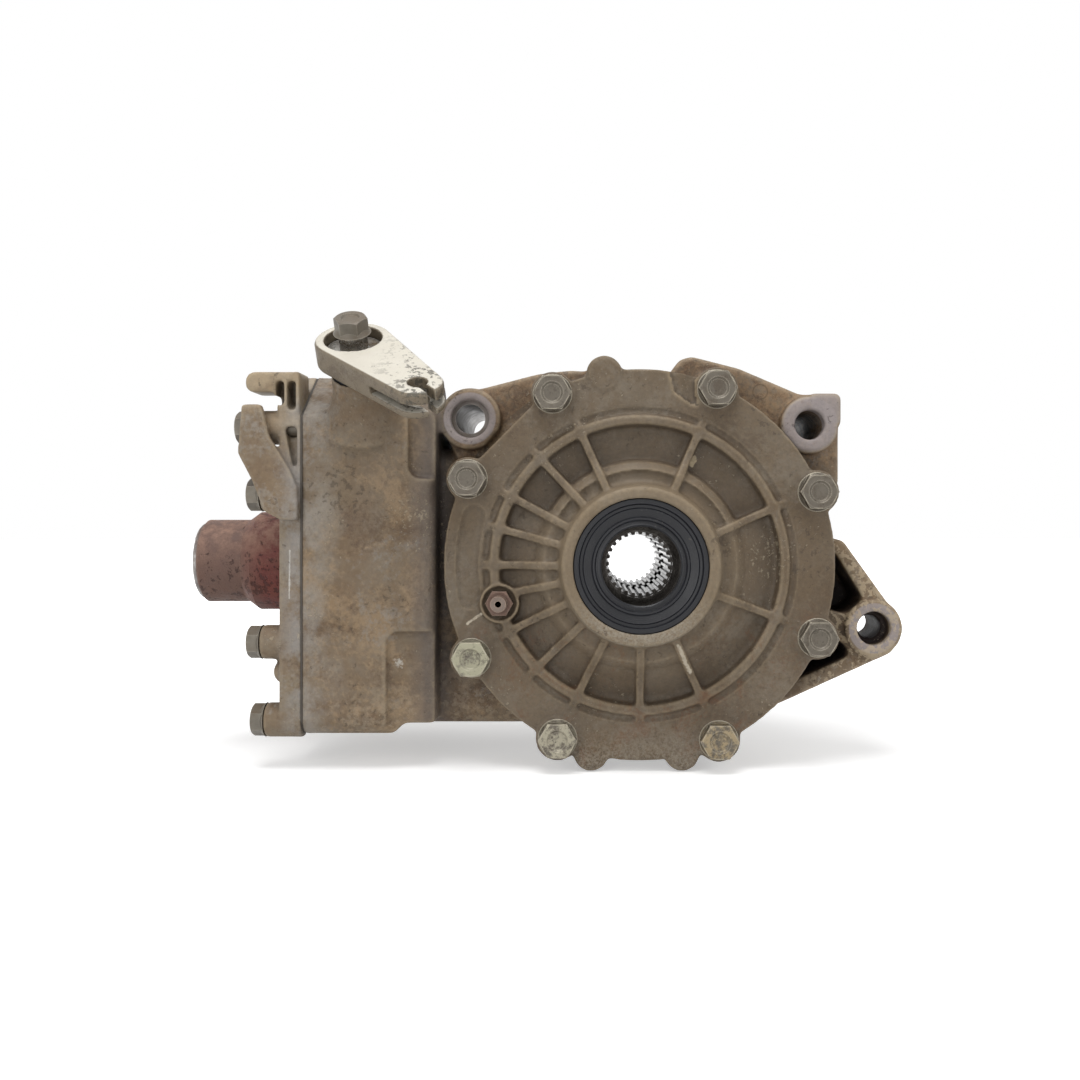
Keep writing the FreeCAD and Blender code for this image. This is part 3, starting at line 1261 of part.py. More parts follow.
def make_spider_washers():
    washers = []
    back = side_pitch_r + spider_back_depth
    for up in (1, -1):
        outer = Part.makeCylinder(spider_pitch_r, thrust_washer_thickness - 0.1,
                                  FreeCAD.Vector(0, centre_y, (back + 0.1) * up), Z_AXIS * up)
        hole = Part.makeCylinder(spider_pin_r + press_gap, thrust_washer_thickness,
                                 FreeCAD.Vector(0, centre_y, back * up), Z_AXIS * up)
        washers.append(outer.cut(hole))
    return Part.makeCompound(washers)


# Pinion shaft and what turns with it
def make_pinion_shaft():
    level = ring_pitch_r
    share = 1 - pinion_face_width / math.hypot(ring_pitch_r, pinion_pitch_r)
    sine = math.sin(pinion_cone)
    cosine = math.cos(pinion_cone)
    beyond = gear_module * 1.6
    cone = bevel_teeth(pinion_teeth, ring_teeth, gear_module, gear_pressure_deg, pinion_addendum,
                       ring_addendum,
                       gear_backlash, level * share * 0.8, level + 8.0)
    head = solid_of_turn([(0, level * share), (pinion_pitch_r * share + beyond * cosine * share,
                                               level * share - beyond * sine * share),
                          (pinion_pitch_r + beyond * cosine, level - beyond * sine),
                          (pinion_pitch_r - beyond * cosine, level + beyond * sine),
                          (0, level + beyond * sine)])
    head = head.common(cone)
    head = placed(head, Z_AXIS, -90, FreeCAD.Vector(0, 0, 0))
    head = placed(head, Y_AXIS, -90, FreeCAD.Vector(0, pinion_line_y, 0))
    hub_seat_r = pinion_bearing_bore_r - 1.5
    shaft = turned_x([(0, -level), (pinion_pitch_r * 0.7, -level), (pinion_shoulder_r, pinion_back_x + 1.5),
                      (pinion_shoulder_r, pinion_back_x),
                      (pinion_bearing_bore_r, pinion_back_x), (pinion_bearing_bore_r,
                                                               pinion_bearing_front_x - 1.0),
                      (hub_seat_r, pinion_bearing_front_x - 1.0), (hub_seat_r, front_bearing_rear_x + 0.5),
                      (front_bearing_bore_r, front_bearing_rear_x + 0.5),
                      (front_bearing_bore_r, front_bearing_front_x),
                      (pinion_end_r, front_bearing_front_x), (pinion_end_r, nut_front_x - 2.0),
                      (pinion_end_r - 1.0, nut_front_x - 3.0), (0, nut_front_x - 3.0)])
    return head.fuse(shaft).removeSplitter()


def make_brake_hub():
    hub_seat_r = pinion_bearing_bore_r - 1.5 + press_gap
    rear_x = chamber_rear_x - 0.5
    front_x = pressure_rear_x + 0.2
    body = turned_x([(hub_seat_r, pinion_bearing_front_x - 1.0), (hub_seat_r + 4.0,
                                                                  pinion_bearing_front_x - 1.0),
                     (hub_seat_r + 4.0, rear_x), (brake_hub_r, rear_x), (brake_hub_r, front_x),
                     (hub_seat_r + 4.0, front_x), (hub_seat_r + 4.0, front_bearing_rear_x + 0.6),
                     (hub_seat_r, front_bearing_rear_x + 0.6)])
    teeth = []
    for step in range(brake_tooth_count):
        teeth.append(brake_tooth(step, brake_tooth_height, 0.0, front_x, rear_x))
    return body.fuse(teeth).removeSplitter()


def brake_tooth(step, height, extra, x_from, x_to):
    """Return one driving tooth of the brake hub, or with extra, the room for it in a friction plate."""
    width = math.pi * brake_hub_r / brake_tooth_count
    tooth = Part.makeBox(x_to - x_from, width + 2 * extra, height + 1.0 + extra,
                         FreeCAD.Vector(x_from, -width / 2 - extra, brake_hub_r - 1.0))
    tooth.rotate(FreeCAD.Vector(0, 0, 0), X_AXIS, 360 / brake_tooth_count * step)
    tooth.translate(Y_AXIS * pinion_line_y)
    return tooth


def plate_rear_x(index):
    """Return the rear face of a plate in the stack; even plates are steel, odd ones friction plates."""
    steels = (index + 1) // 2
    frictions = index // 2
    plates = steels * steel_plate_thickness + frictions * friction_plate_thickness
    return chamber_rear_x - plates - index * plate_gap


def make_friction_plates():
    plates = []
    for index in range(friction_plate_count):
        rear_x = plate_rear_x(2 * index + 1)
        front_x = rear_x - friction_plate_thickness
        plate = tube_x(friction_plate_r, brake_hub_r + free_gap, front_x, rear_x)
        room = [brake_tooth(step, brake_tooth_height, free_gap, front_x,
                            rear_x) for step in range(brake_tooth_count)]
        plates.append(plate.cut(room))
    return Part.makeCompound(plates)


def lugged_disc(outer_r, inner_r, x_from, x_to):
    """Return a disc with square lugs that ride in the brake chamber's grooves."""
    disc = tube_x(outer_r, inner_r, x_from, x_to)
    return disc.fuse(steel_lugs(x_from, x_to)).removeSplitter()


def make_steel_plates():
    plates = []
    for index in range(friction_plate_count + 1):
        rear_x = plate_rear_x(2 * index)
        plates.append(lugged_disc(chamber_r - free_gap, steel_plate_inner_r, rear_x - steel_plate_thickness,
                                  rear_x))
    return Part.makeCompound(plates)


def ramp_grooves(sweep_deg, level_x):
    """Return the curved pockets that the ramp balls roll in."""
    pockets = []
    for step in range(ramp_ball_count):
        first = 360 / ramp_ball_count * step + ramp_first_deg
        middle = FreeCAD.Vector(level_x, pinion_line_y + ramp_ball_circle_r, 0)
        section = Part.makeCircle(ramp_ball_r + running_gap, middle, Z_AXIS)
        groove = Part.Face(Part.Wire(section)).revolve(FreeCAD.Vector(0, pinion_line_y, 0), X_AXIS, sweep_deg)
        groove.rotate(FreeCAD.Vector(0, pinion_line_y, 0), X_AXIS, first - sweep_deg / 2)
        pockets.append(groove)
        for end in (-0.5, 0.5):
            pockets.append(Part.makeSphere(ramp_ball_r + running_gap, ramp_spot(first + sweep_deg * end,
                                                                                level_x)))
    return pockets


def ramp_spot(angle_deg, level_x):
    """Return a place on the ramp balls' circle; the angle is counted about +X from the groove's own start."""
    start = FreeCAD.Vector(0, ramp_ball_circle_r, 0)
    turn = FreeCAD.Rotation(X_AXIS, angle_deg)
    return turn.multVec(start) + FreeCAD.Vector(level_x, pinion_line_y, 0)


def make_pressure_plate():
    body = lugged_disc(chamber_r - free_gap, steel_plate_inner_r, pressure_front_x, pressure_rear_x)
    return body.cut(ramp_grooves(ramp_sweep_deg, ramp_ball_x))


def make_cam_plate():
    disc = tube_x(chamber_r - free_gap, cam_guide_r + running_gap, cam_front_x, cam_rear_x)
    ear = to_lever(Part.makeBox(cam_plate_thickness, 18.0, crank_reach_r + 3.0 - cam_guide_r - 3.0,
                                FreeCAD.Vector(cam_front_x - lever_x, -9.0, cam_guide_r + 3.0)))
    slot = to_lever(Part.makeBox(cam_plate_thickness, 2 * (crank_pin_r + free_gap), crank_slot_depth + 4.0,
                                 FreeCAD.Vector(cam_front_x - lever_x, -crank_pin_r - free_gap,
                                                crank_reach_r + 3.0 - crank_slot_depth)))
    return disc.fuse(ear).removeSplitter().cut([slot] + ramp_grooves(ramp_sweep_deg, ramp_ball_x))


def make_ramp_balls():
    balls = []
    for step in range(ramp_ball_count):
        balls.append(Part.makeSphere(ramp_ball_r, ramp_spot(360 / ramp_ball_count * step + ramp_first_deg,
                                                            ramp_ball_x)))
    return Part.makeCompound(balls)


def make_cam_shaft():
    foot_from = crank_reach_r + 4.0
    shaft = lever_round(cam_shaft_r, foot_from, lever_seat_height)
    foot = lever_round(cam_shaft_foot_r, foot_from, foot_from + cam_shaft_foot_height - 0.5)
    pin = lever_round(crank_pin_r, foot_from - crank_pin_length, foot_from + 1.0, -crank_offset)
    thread = lever_round(lever_bolt_r + press_gap, lever_seat_height - lever_bolt_depth, lever_seat_height)
    return joined([shaft, foot, pin]).cut(thread)


def make_lever():
    turn = -lever_arm_deg
    bottom = lever_top - lever_thickness
    offset = lever_hub_r - lever_end_r
    lean = math.asin(offset / lever_arm_length)
    hub_u = lever_hub_r * math.sin(lean)
    hub_v = lever_hub_r * math.cos(lean)
    end_u = lever_arm_length + lever_end_r * math.sin(lean)
    end_v = lever_end_r * math.cos(lean)
    web = Part.Face(Part.makePolygon([FreeCAD.Vector(hub_u, -hub_v, bottom),
                                      FreeCAD.Vector(end_u, -end_v, bottom),
                                      FreeCAD.Vector(end_u, end_v, bottom),
                                      FreeCAD.Vector(hub_u, hub_v, bottom),
                                      FreeCAD.Vector(hub_u, -hub_v,
                                                     bottom)])).extrude(Z_AXIS * lever_thickness)
    hub = Part.makeCylinder(lever_hub_r, lever_thickness, FreeCAD.Vector(0, 0, bottom))
    end = Part.makeCylinder(lever_end_r, lever_thickness, FreeCAD.Vector(lever_arm_length, 0, bottom))
    body = joined([hub, web, end])
    rim = [edge for edge in body.Edges if abs(edge.BoundBox.ZMin - edge.BoundBox.ZMax) < 1e-6]
    body = body.makeChamfer(0.8, rim)
    slit_bottom = bottom + lever_lower_tongue
    reach = lever_arm_length + lever_end_r + 2.0
    slit = Part.makeBox(lever_slit_length + 2.0, 4 * lever_end_r, lever_slit,
                        FreeCAD.Vector(reach - lever_slit_length - 2.0, -2 * lever_end_r, slit_bottom))
    hole = Part.makeCylinder(cable_hole_r, lever_thickness + 2.0, FreeCAD.Vector(lever_arm_length, 0,
                                                                                 bottom - 1.0))
    entry = Part.makeBox(lever_end_r + 2.0, cable_slot, lever_thickness + 2.0,
                         FreeCAD.Vector(lever_arm_length, -cable_slot / 2, bottom - 1.0))
    bore = Part.makeCylinder(cam_shaft_r + press_gap, lever_thickness, FreeCAD.Vector(0, 0, bottom))
    well = Part.makeCylinder(lever_counterbore_r, lever_counterbore_depth + 1.0,
                             FreeCAD.Vector(0, 0, lever_seat_height))
    body = body.cut([slit, hole, entry, bore, well])
    body.rotate(FreeCAD.Vector(0, 0, 0), Z_AXIS, turn)
    return to_lever(body)


def make_lever_collar():
    collar = lever_round(lever_collar_r, lever_seat_height, lever_seat_height + lever_collar_height)
    brim = lever_round(lever_counterbore_r - free_gap, lever_seat_height, lever_seat_height + 1.6)
    return joined([collar, brim]).cut(lever_round(lever_bolt_r + bolt_gap, lever_seat_height,
                                                  lever_top + 10.0))


def make_lever_bolt():
    seat = lever_spot(lever_seat_height + lever_collar_height)
    return flange_bolt(lever_bolt_r, lever_collar_height + lever_bolt_depth - 1.0, lever_bolt_flange_r,
                       lever_bolt_head_across, lever_bolt_head_height, seat,
                       lever_axis)


def make_cam_shaft_seal():
    return lever_round(cam_seal_r - press_gap, lever_neck_top - 6.0, lever_neck_top).cut(
        lever_round(cam_shaft_r + seal_gap, lever_neck_top - 6.0, lever_neck_top))


def make_input_coupling():
    inner_x = front_bearing_front_x
    body = turned_x([(pinion_end_r + press_gap, inner_x), (coupling_r - 1.0, inner_x),
                     (coupling_r, inner_x - 1.0),
                     (coupling_r, coupling_shoulder_x), (coupling_neck_r, coupling_neck_x),
                     (coupling_neck_r, coupling_end_x + 0.8), (coupling_neck_r - 0.8, coupling_end_x),
                     (coupling_lip_seat_r, coupling_end_x), (coupling_lip_seat_r,
                                                             coupling_end_x + coupling_lip_seat),
                     (coupling_socket_r, coupling_end_x + coupling_lip_seat),
                     (coupling_socket_r, nut_front_x + coupling_nut_height),
                     (pinion_end_r + press_gap, nut_front_x + coupling_nut_height)])
    return body


def make_coupling_spline_ring():
    """Return the splined lining of the coupling's socket, which is one with the coupling."""
    from_x = coupling_end_x + 12.0
    to_x = nut_front_x - 3.5
    ring = round_x(coupling_socket_r + 0.5, from_x, to_x)
    hole = spline_hole(coupling_socket_r - 0.1, coupling_spline_r, coupling_spline_teeth, from_x - 0.01,
                       to_x + 0.01,
                       FreeCAD.Vector(0, pinion_line_y, 0), X_AXIS)
    return ring.cut(hole)


def make_coupling_lip_ring():
    front_x = coupling_end_x - coupling_lip_proud
    return turned_x([(coupling_lip_bore_r, front_x), (coupling_lip_r - 0.6, front_x),
                     (coupling_lip_r, front_x + 0.6),
                     (coupling_lip_r, coupling_end_x), (coupling_lip_seat_r - press_gap, coupling_end_x),
                     (coupling_lip_seat_r - press_gap, coupling_end_x + coupling_lip_seat),
                     (coupling_lip_bore_r, coupling_end_x + coupling_lip_seat)])


def make_coupling_nut():
    seat = FreeCAD.Vector(nut_front_x + coupling_nut_height, pinion_line_y, 0)
    nut = hexagon_prism(coupling_nut_across, coupling_nut_height, seat, -X_AXIS)
    return nut.cut(round_x(pinion_end_r + press_gap, nut_front_x - 1.0,
                           nut_front_x + coupling_nut_height + 1.0))


def make_input_seal():
    rear = input_seal_rear_x
    front = input_seal_front_x
    rim_r = input_seal_outer_r - press_gap
    lip_r = coupling_r + seal_gap
    return turned_x([(rim_r, rear), (rim_r, front), (rim_r - 2.4, front), (rim_r - 3.0, front + 1.2),
                     (lip_r + 2.0, front + 1.2), (lip_r, front + 0.4), (lip_r, front + 2.6),
                     (lip_r + 1.2, front + 5.0), (lip_r + 1.2, rear - 0.6), (lip_r + 2.4, rear - 0.6),
                     (lip_r + 2.8, front + 4.0), (rim_r - 1.4, front + 4.0), (rim_r - 1.4, rear)])


def make_circlip():
    ring = tube_x(pinion_bearing_outer_r + circlip_depth - 0.2, pinion_bearing_outer_r - 3.0, circlip_front_x,
                  pinion_bearing_front_x)
    gap = Part.makeBox(20.0, 12.0, 12.0, FreeCAD.Vector(circlip_front_x - 5.0, pinion_line_y - 6.0,
                                                        -pinion_bearing_outer_r - 6.0))
    return ring.cut(gap)


def make_plug(seat, outward, depth):
    """Return a drain or filler plug whose flange sits on the face at seat."""
    shank = Part.makeCylinder(plug_r, depth, seat - outward * depth, outward)
    flange = Part.makeCylinder(plug_flange_r - 1.0, plug_flange_thickness, seat, outward)
    head = hexagon_prism(plug_head_across - 3.0, plug_head_height,
                         seat + outward * (plug_flange_thickness - 0.5), outward)
    return joined([shank, flange, head])


def make_mount_sleeve():
    outer = round_y(sleeve_bore_r + sleeve_wall - press_gap, eye_near_y + 3.0, eye_far_y - 1.0, left_eye_x,
                    left_eye_z)
    return outer.cut([round_y(sleeve_bore_r, eye_near_y, eye_far_y, left_eye_x, left_eye_z)])


def make_dowels():
    pins = []
    for angle in dowel_angles:
        x, z = polar(dowel_circle_r, angle)
        pins.append(tube_y(dowel_r, dowel_r - 1.2, cover_joint_y - dowel_length / 2 + 0.3,
                           cover_joint_y + dowel_length / 2 - 0.3, x, z))
    return Part.makeCompound(pins)


def make_o_ring():
    """Return the cover's sealing ring, squeezed to eight flats by its groove."""
    section = []
    for step in range(8):
        angle = math.radians(22.5 + 45 * step)
        section.append((o_ring_mid_r + o_ring_r * math.cos(angle),
                        cover_joint_y + o_ring_r * (1 + math.sin(angle))))
    return turned_y(section)


def make_thrust_washer(y_from):
    return tube_y(drum_bore_r - 1.5, hub_bore_r + 0.5, y_from, y_from + thrust_washer_thickness)


def build():
    left_outer, left_inner, left_rollers = carrier_bearing(left_bearing_out_y, left_bearing_in_y)
    right_outer, right_inner, right_rollers = carrier_bearing(right_bearing_in_y, right_bearing_out_y)
    pinion_outer, pinion_inner, pinion_rollers = shaft_bearing(
        pinion_bearing_bore_r, pinion_bearing_outer_r, pinion_race_wall, pinion_bearing_front_x,
                                                               pinion_bearing_rear_x)
    front_outer, front_inner, front_rollers = shaft_bearing(
        front_bearing_bore_r, front_bearing_outer_r, front_race_wall, front_bearing_front_x,
                                                            front_bearing_rear_x)
    return {
        "gear_case": make_gear_case(),
        "axle_cover": make_axle_cover(),
        "axle_cover_bolts": make_cover_bolts(),
        "left_axle_seal": make_axle_seal(left_seal_in_y, left_seal_out_y),
        "right_axle_seal": make_axle_seal(right_seal_in_y, right_seal_out_y),
        "breather_fitting": make_breather(),
        "cover_o_ring": make_o_ring(),
        "cover_dowels": make_dowels(),
        "front_cover": make_front_cover(),
        "front_cover_gasket": make_front_gasket(),
        "front_cover_bolts": make_front_bolts(),
        "input_seal": make_input_seal(),
        "mount_sleeve": make_mount_sleeve(),
        "drain_plug": make_plug(FreeCAD.Vector(drain_x, drain_y, -case_shell_r - 3.0), -Z_AXIS, 9.0),
        "filler_plug": make_plug(FreeCAD.Vector(case_shell_r + 4.0, filler_y, filler_z), X_AXIS, 9.0),
        "left_bearing_outer_race": left_outer,
        "left_bearing_inner_race": left_inner,
        "left_bearing_rollers": left_rollers,
        "right_bearing_outer_race": right_outer,
        "right_bearing_inner_race": right_inner,
        "right_bearing_rollers": right_rollers,
        "pinion_bearing_outer_race": pinion_outer,
        "pinion_bearing_inner_race": pinion_inner,
        "pinion_bearing_rollers": pinion_rollers,
        "front_bearing_outer_race": front_outer,
        "front_bearing_inner_race": front_inner,
        "front_bearing_rollers": front_rollers,
        "bearing_circlip": make_circlip(),
        "carrier_cap": make_carrier_cap(),
        "carrier_drum": make_carrier_drum(),
        "carrier_screws": make_carrier_screws(),
        "ring_gear": make_ring_gear(),
        "ring_gear_bolts": make_ring_bolts(),
        "left_side_gear": make_left_side_gear(),
        "right_side_gear": make_right_side_gear(),
        "upper_spider_gear": make_spider_gear(1),
        "lower_spider_gear": make_spider_gear(-1),
        "spider_pins": make_spider_pins(),
        "spider_washers": make_spider_washers(),
        "left_thrust_washer": make_thrust_washer(drum_left_seat_y),
        "right_thrust_washer": make_thrust_washer(right_side_back_y),
        "pinion_shaft": make_pinion_shaft(),
        "brake_hub": make_brake_hub(),
        "friction_plates": make_friction_plates(),
        "steel_plates": make_steel_plates(),
        "pressure_plate": make_pressure_plate(),
        "ramp_balls": make_ramp_balls(),
        "cam_plate": make_cam_plate(),
        "cam_shaft": make_cam_shaft(),
        "cam_shaft_seal": make_cam_shaft_seal(),
        "brake_lever": make_lever(),
        "lever_collar": make_lever_collar(),
        "lever_bolt": make_lever_bolt(),
        "input_coupling": make_input_coupling().fuse(make_coupling_spline_ring()).removeSplitter(),
        "coupling_lip_ring": make_coupling_lip_ring(),
        "coupling_nut": make_coupling_nut(),
    }


os.makedirs("parts", exist_ok=True)
for node, shape in build().items():
    shape.exportStep("parts/" + node + ".step")
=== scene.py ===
import math

import bmesh
import bpy
import numpy
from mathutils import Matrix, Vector


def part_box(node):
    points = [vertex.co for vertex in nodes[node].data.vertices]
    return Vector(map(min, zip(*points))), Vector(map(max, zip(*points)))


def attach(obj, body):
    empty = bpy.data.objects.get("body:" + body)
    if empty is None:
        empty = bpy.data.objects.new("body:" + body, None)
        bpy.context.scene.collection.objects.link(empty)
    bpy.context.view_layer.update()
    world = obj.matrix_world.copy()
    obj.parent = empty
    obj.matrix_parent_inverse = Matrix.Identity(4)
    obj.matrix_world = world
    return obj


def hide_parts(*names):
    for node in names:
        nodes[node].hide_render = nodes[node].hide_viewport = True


# The rear gear case in metres: the axle line is Y, the cover faces -Y, +Z is up and -X points ahead.
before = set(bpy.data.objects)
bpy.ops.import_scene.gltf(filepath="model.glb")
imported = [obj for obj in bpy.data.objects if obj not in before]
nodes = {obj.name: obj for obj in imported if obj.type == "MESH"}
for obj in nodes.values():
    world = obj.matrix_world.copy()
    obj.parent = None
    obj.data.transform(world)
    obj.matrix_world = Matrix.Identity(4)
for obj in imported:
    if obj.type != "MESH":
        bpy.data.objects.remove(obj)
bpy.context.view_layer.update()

# The photograph: its frame, the camera's place and the pixel that the axle line runs to
PHOTO_WIDTH = 1080
FOCAL_PIXELS = 1100
AXLE_PIXEL = (590, 520)
CAMERA_PLACE = (-0.0208, -0.467, 0.0188)
SENSOR_WIDTH = 36.0

# Places that the finish follows, all worked out from the frame
COVER_LOW, COVER_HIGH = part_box("axle_cover")
CASE_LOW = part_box("gear_case")[0]
GASKET_LOW, GASKET_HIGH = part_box("front_cover_gasket")
SLEEVE_LOW, SLEEVE_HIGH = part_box("mount_sleeve")
SEAM_X = (GASKET_LOW.x + GASKET_HIGH.x) / 2
AXLE_LINE = (0, 0)
PINION_LINE = (0.044, 0)
LEFT_EYE = ((SLEEVE_LOW.x + SLEEVE_HIGH.x) / 2, (SLEEVE_LOW.z + SLEEVE_HIGH.z) / 2)
RIGHT_EYE = (0.073, 0.0595)
REAR_EYE = (0.1012, -0.0278)
COVER_RADIUS = 0.0845
POCKET_RADIUS = 0.0592
STEP_DEPTH = 0.0102
BOLT_CIRCLE = 0.081
BOLT_ANGLES = (22.3, 66.3, 117.0, 153.4, 208.9, 244.7, 294.3, 337.7)
FLOOR_Z = min(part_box(name)[0].z for name in nodes)


# Node helpers
def put(tree, kind, **settings):
    """Add a shader node; a setting that is no property fills the input of its name, with _ for a space."""
    node = tree.nodes.new("ShaderNode" + kind)
    for name, value in settings.items():
        if hasattr(node, name):
            setattr(node, name, value)
        else:
            feed(tree, value, node.inputs[name.replace("_", " ")])
    return node


def feed(tree, value, socket):
    """Link an output to a socket, or set the socket's own value."""
    if isinstance(value, bpy.types.NodeSocket):
        tree.links.new(value, socket)
    else:
        socket.default_value = value


def maths(tree, operation, *values):
    node = tree.nodes.new("ShaderNodeMath")
    node.operation = operation
    for socket, value in zip(node.inputs, values):
        feed(tree, value, socket)
    return node.outputs[0]


def vector_maths(tree, operation, *values):
    node = tree.nodes.new("ShaderNodeVectorMath")
    node.operation = operation
    for socket, value in zip(node.inputs, values):
        feed(tree, value, socket)
    return node.outputs["Value" if operation in ("DOT_PRODUCT", "LENGTH", "DISTANCE") else "Vector"]


def remap(tree, value, low, high, to_low=0.0, to_high=1.0):
    """Stretch a value from the range low to high, and hold it at the ends."""
    node = tree.nodes.new("ShaderNodeMapRange")
    for socket, setting in zip(node.inputs, (value, low, high, to_low, to_high)):
        feed(tree, setting, socket)
    return node.outputs[0]


def blend(tree, factor, first, second, mode="MIX"):
    """Mix two colours by a factor."""
    node = tree.nodes.new("ShaderNodeMix")
    node.data_type = "RGBA"
    node.blend_type = mode
    feed(tree, factor, node.inputs["Factor"])
    feed(tree, first, node.inputs[6])
    feed(tree, second, node.inputs[7])
    return node.outputs[2]


def coat(tree, colour, mask, share, shade):
    """Lay a shade over a colour where a mask is, at a share of its full strength."""
    return blend(tree, maths(tree, "MULTIPLY", mask, share), colour, shade)


def tone(red, green, blue):
    """Return a colour that is given by its 0 to 255 values as seen on a screen."""
    linear = []
    for value in (red, green, blue):
        share = value / 255
        linear.append(share / 12.92 if share <= 0.04045 else ((share + 0.055) / 1.055) ** 2.4)
    return (*linear, 1.0)


def noise(tree, place, scale, detail=5.0, roughness=0.55, distortion=0.0):
    """Return the level of a cloudy pattern, from 0 to 1."""
    node = put(tree, "TexNoise", Vector=place, Scale=scale, Detail=detail, Roughness=roughness,
               Distortion=distortion)
    return node.outputs["Fac"]


def new_group(name, inputs, outputs):
    """Start a node group with named sockets; inputs are (name, kind, default) and outputs (name, kind)."""
    tree = bpy.data.node_groups.new(name, "ShaderNodeTree")
    for socket_name, kind, default in inputs:
        socket = tree.interface.new_socket(name=socket_name, in_out="INPUT", socket_type="NodeSocket" + kind)
        socket.default_value = default
    for socket_name, kind in outputs:
        tree.interface.new_socket(name=socket_name, in_out="OUTPUT", socket_type="NodeSocket" + kind)
    return tree, tree.nodes.new("NodeGroupInput").outputs, tree.nodes.new("NodeGroupOutput").inputs


def use_group(tree, group, **values):
    """Place a shared group in a material with its own values, and return its outputs."""
    node = tree.nodes.new("ShaderNodeGroup")
    node.node_tree = group
    for name, value in values.items():
        feed(tree, value, node.inputs[name.replace("_", " ")])
    return node.outputs


def object_place(tree):
    return put(tree, "TexCoord").outputs["Object"]


# Effects that several finishes share
def make_edge_group():
    """Worn edges: 1 where the surface turns sharply within the width, broken up by a fine pattern."""
    tree, given, result = new_group("worn_edges", [("Width", "Float", 0.0008), ("Breakup", "Float", 0.5)],
                                    [("Mask", "Float")])
    rounded = put(tree, "Bevel", samples=6, Radius=given["Width"]).outputs["Normal"]
    facing = put(tree, "NewGeometry").outputs["Normal"]
    turn = maths(tree, "SUBTRACT", 1.0, vector_maths(tree, "DOT_PRODUCT", rounded, facing))
    edge = remap(tree, turn, 0.01, 0.12)
    patchy = remap(tree, noise(tree, object_place(tree), 420.0, 4.0, 0.7), 0.35, 0.62)
    kept = maths(tree, "MULTIPLY_ADD", maths(tree, "SUBTRACT", patchy, 1.0), given["Breakup"], 1.0)
    feed(tree, maths(tree, "MULTIPLY", edge, kept), result["Mask"])
    return tree


def make_hollow_group():
    """Hollows: 1 deep in corners and pockets that are smaller than the reach, for laying painted shade there.
    """
    tree, given, result = new_group("hollows", [("Reach", "Float", 0.01), ("Low", "Float", 0.35),
                                                ("High", "Float", 0.95)], [("Mask", "Float")])
    open_share = put(tree, "AmbientOcclusion", samples=8, only_local=False,
                     Distance=given["Reach"]).outputs["AO"]
    feed(tree, remap(tree, open_share, given["Low"], given["High"], 1.0, 0.0), result["Mask"])
    return tree


def make_speck_group():
    """Specks: small irregular spots that cover about the given share of the surface."""
    tree, given, result = new_group("specks", [("Scale", "Float", 400.0), ("Share", "Float", 0.2),
                                               ("Clusters", "Float", 30.0)], [("Mask", "Float")])
    place = object_place(tree)
    fine = noise(tree, place, given["Scale"], 5.0, 0.65, 0.3)
    broad = noise(tree, place, given["Clusters"], 3.0, 0.6)
    level = maths(tree, "MULTIPLY_ADD", maths(tree, "SUBTRACT", broad, 0.5), 0.55, fine)
    edge = maths(tree, "SUBTRACT", 0.72, maths(tree, "MULTIPLY", given["Share"], 0.45))
    feed(tree, remap(tree, maths(tree, "SUBTRACT", level, edge), 0.0, 0.035), result["Mask"])
    return tree


def make_grain_group():
    """Sand cast skin: fine grains, shallow pits and slow waves, as a height from 0 to 1."""
    tree, given, result = new_group("cast_grain", [("Grain", "Float", 900.0), ("Waves", "Float", 60.0)],
                                    [("Height", "Float")])
    place = object_place(tree)
    grains = noise(tree, place, given["Grain"], 3.0, 0.6)
    waves = noise(tree, place, given["Waves"], 3.0, 0.5)
    pits = put(tree, "TexVoronoi", feature="SMOOTH_F1", Vector=place,
               Scale=maths(tree, "MULTIPLY", given["Grain"], 0.45))
    deep = remap(tree, pits.outputs["Distance"], 0.0, 0.35)
    height = maths(tree, "MULTIPLY_ADD", grains, 0.45, maths(tree, "MULTIPLY", waves, 0.35))
    feed(tree, maths(tree, "MULTIPLY_ADD", deep, 0.2, height), result["Height"])
    return tree


def make_soil_group():
    """Dried soil: a film that lies thicker on faces that look up and in broad patches."""
    tree, given, result = new_group("dried_soil", [("Patch Scale", "Float", 24.0), ("Amount", "Float", 0.5),
                                                   ("Settling", "Float", 0.3)],
                                    [("Mask", "Float"), ("Tint", "Float")])
    place = object_place(tree)
    patches = noise(tree, place, given["Patch Scale"], 7.0, 0.62, 0.6)
    fine = noise(tree, place, maths(tree, "MULTIPLY", given["Patch Scale"], 9.0), 4.0, 0.6)
    up = put(tree, "SeparateXYZ", Vector=put(tree, "NewGeometry").outputs["Normal"]).outputs["Z"]
    level = maths(tree, "MULTIPLY_ADD", up, given["Settling"], patches)
    level = maths(tree, "MULTIPLY_ADD", maths(tree, "SUBTRACT", fine, 0.5), 0.35, level)
    edge = maths(tree, "SUBTRACT", 0.85, maths(tree, "MULTIPLY", given["Amount"], 0.7))
    feed(tree, remap(tree, maths(tree, "SUBTRACT", level, edge), -0.14, 0.16), result["Mask"])
    tint = noise(tree, place, maths(tree, "MULTIPLY", given["Patch Scale"], 2.2), 5.0, 0.6)
    feed(tree, remap(tree, tint, 0.3, 0.7), result["Tint"])
    return tree


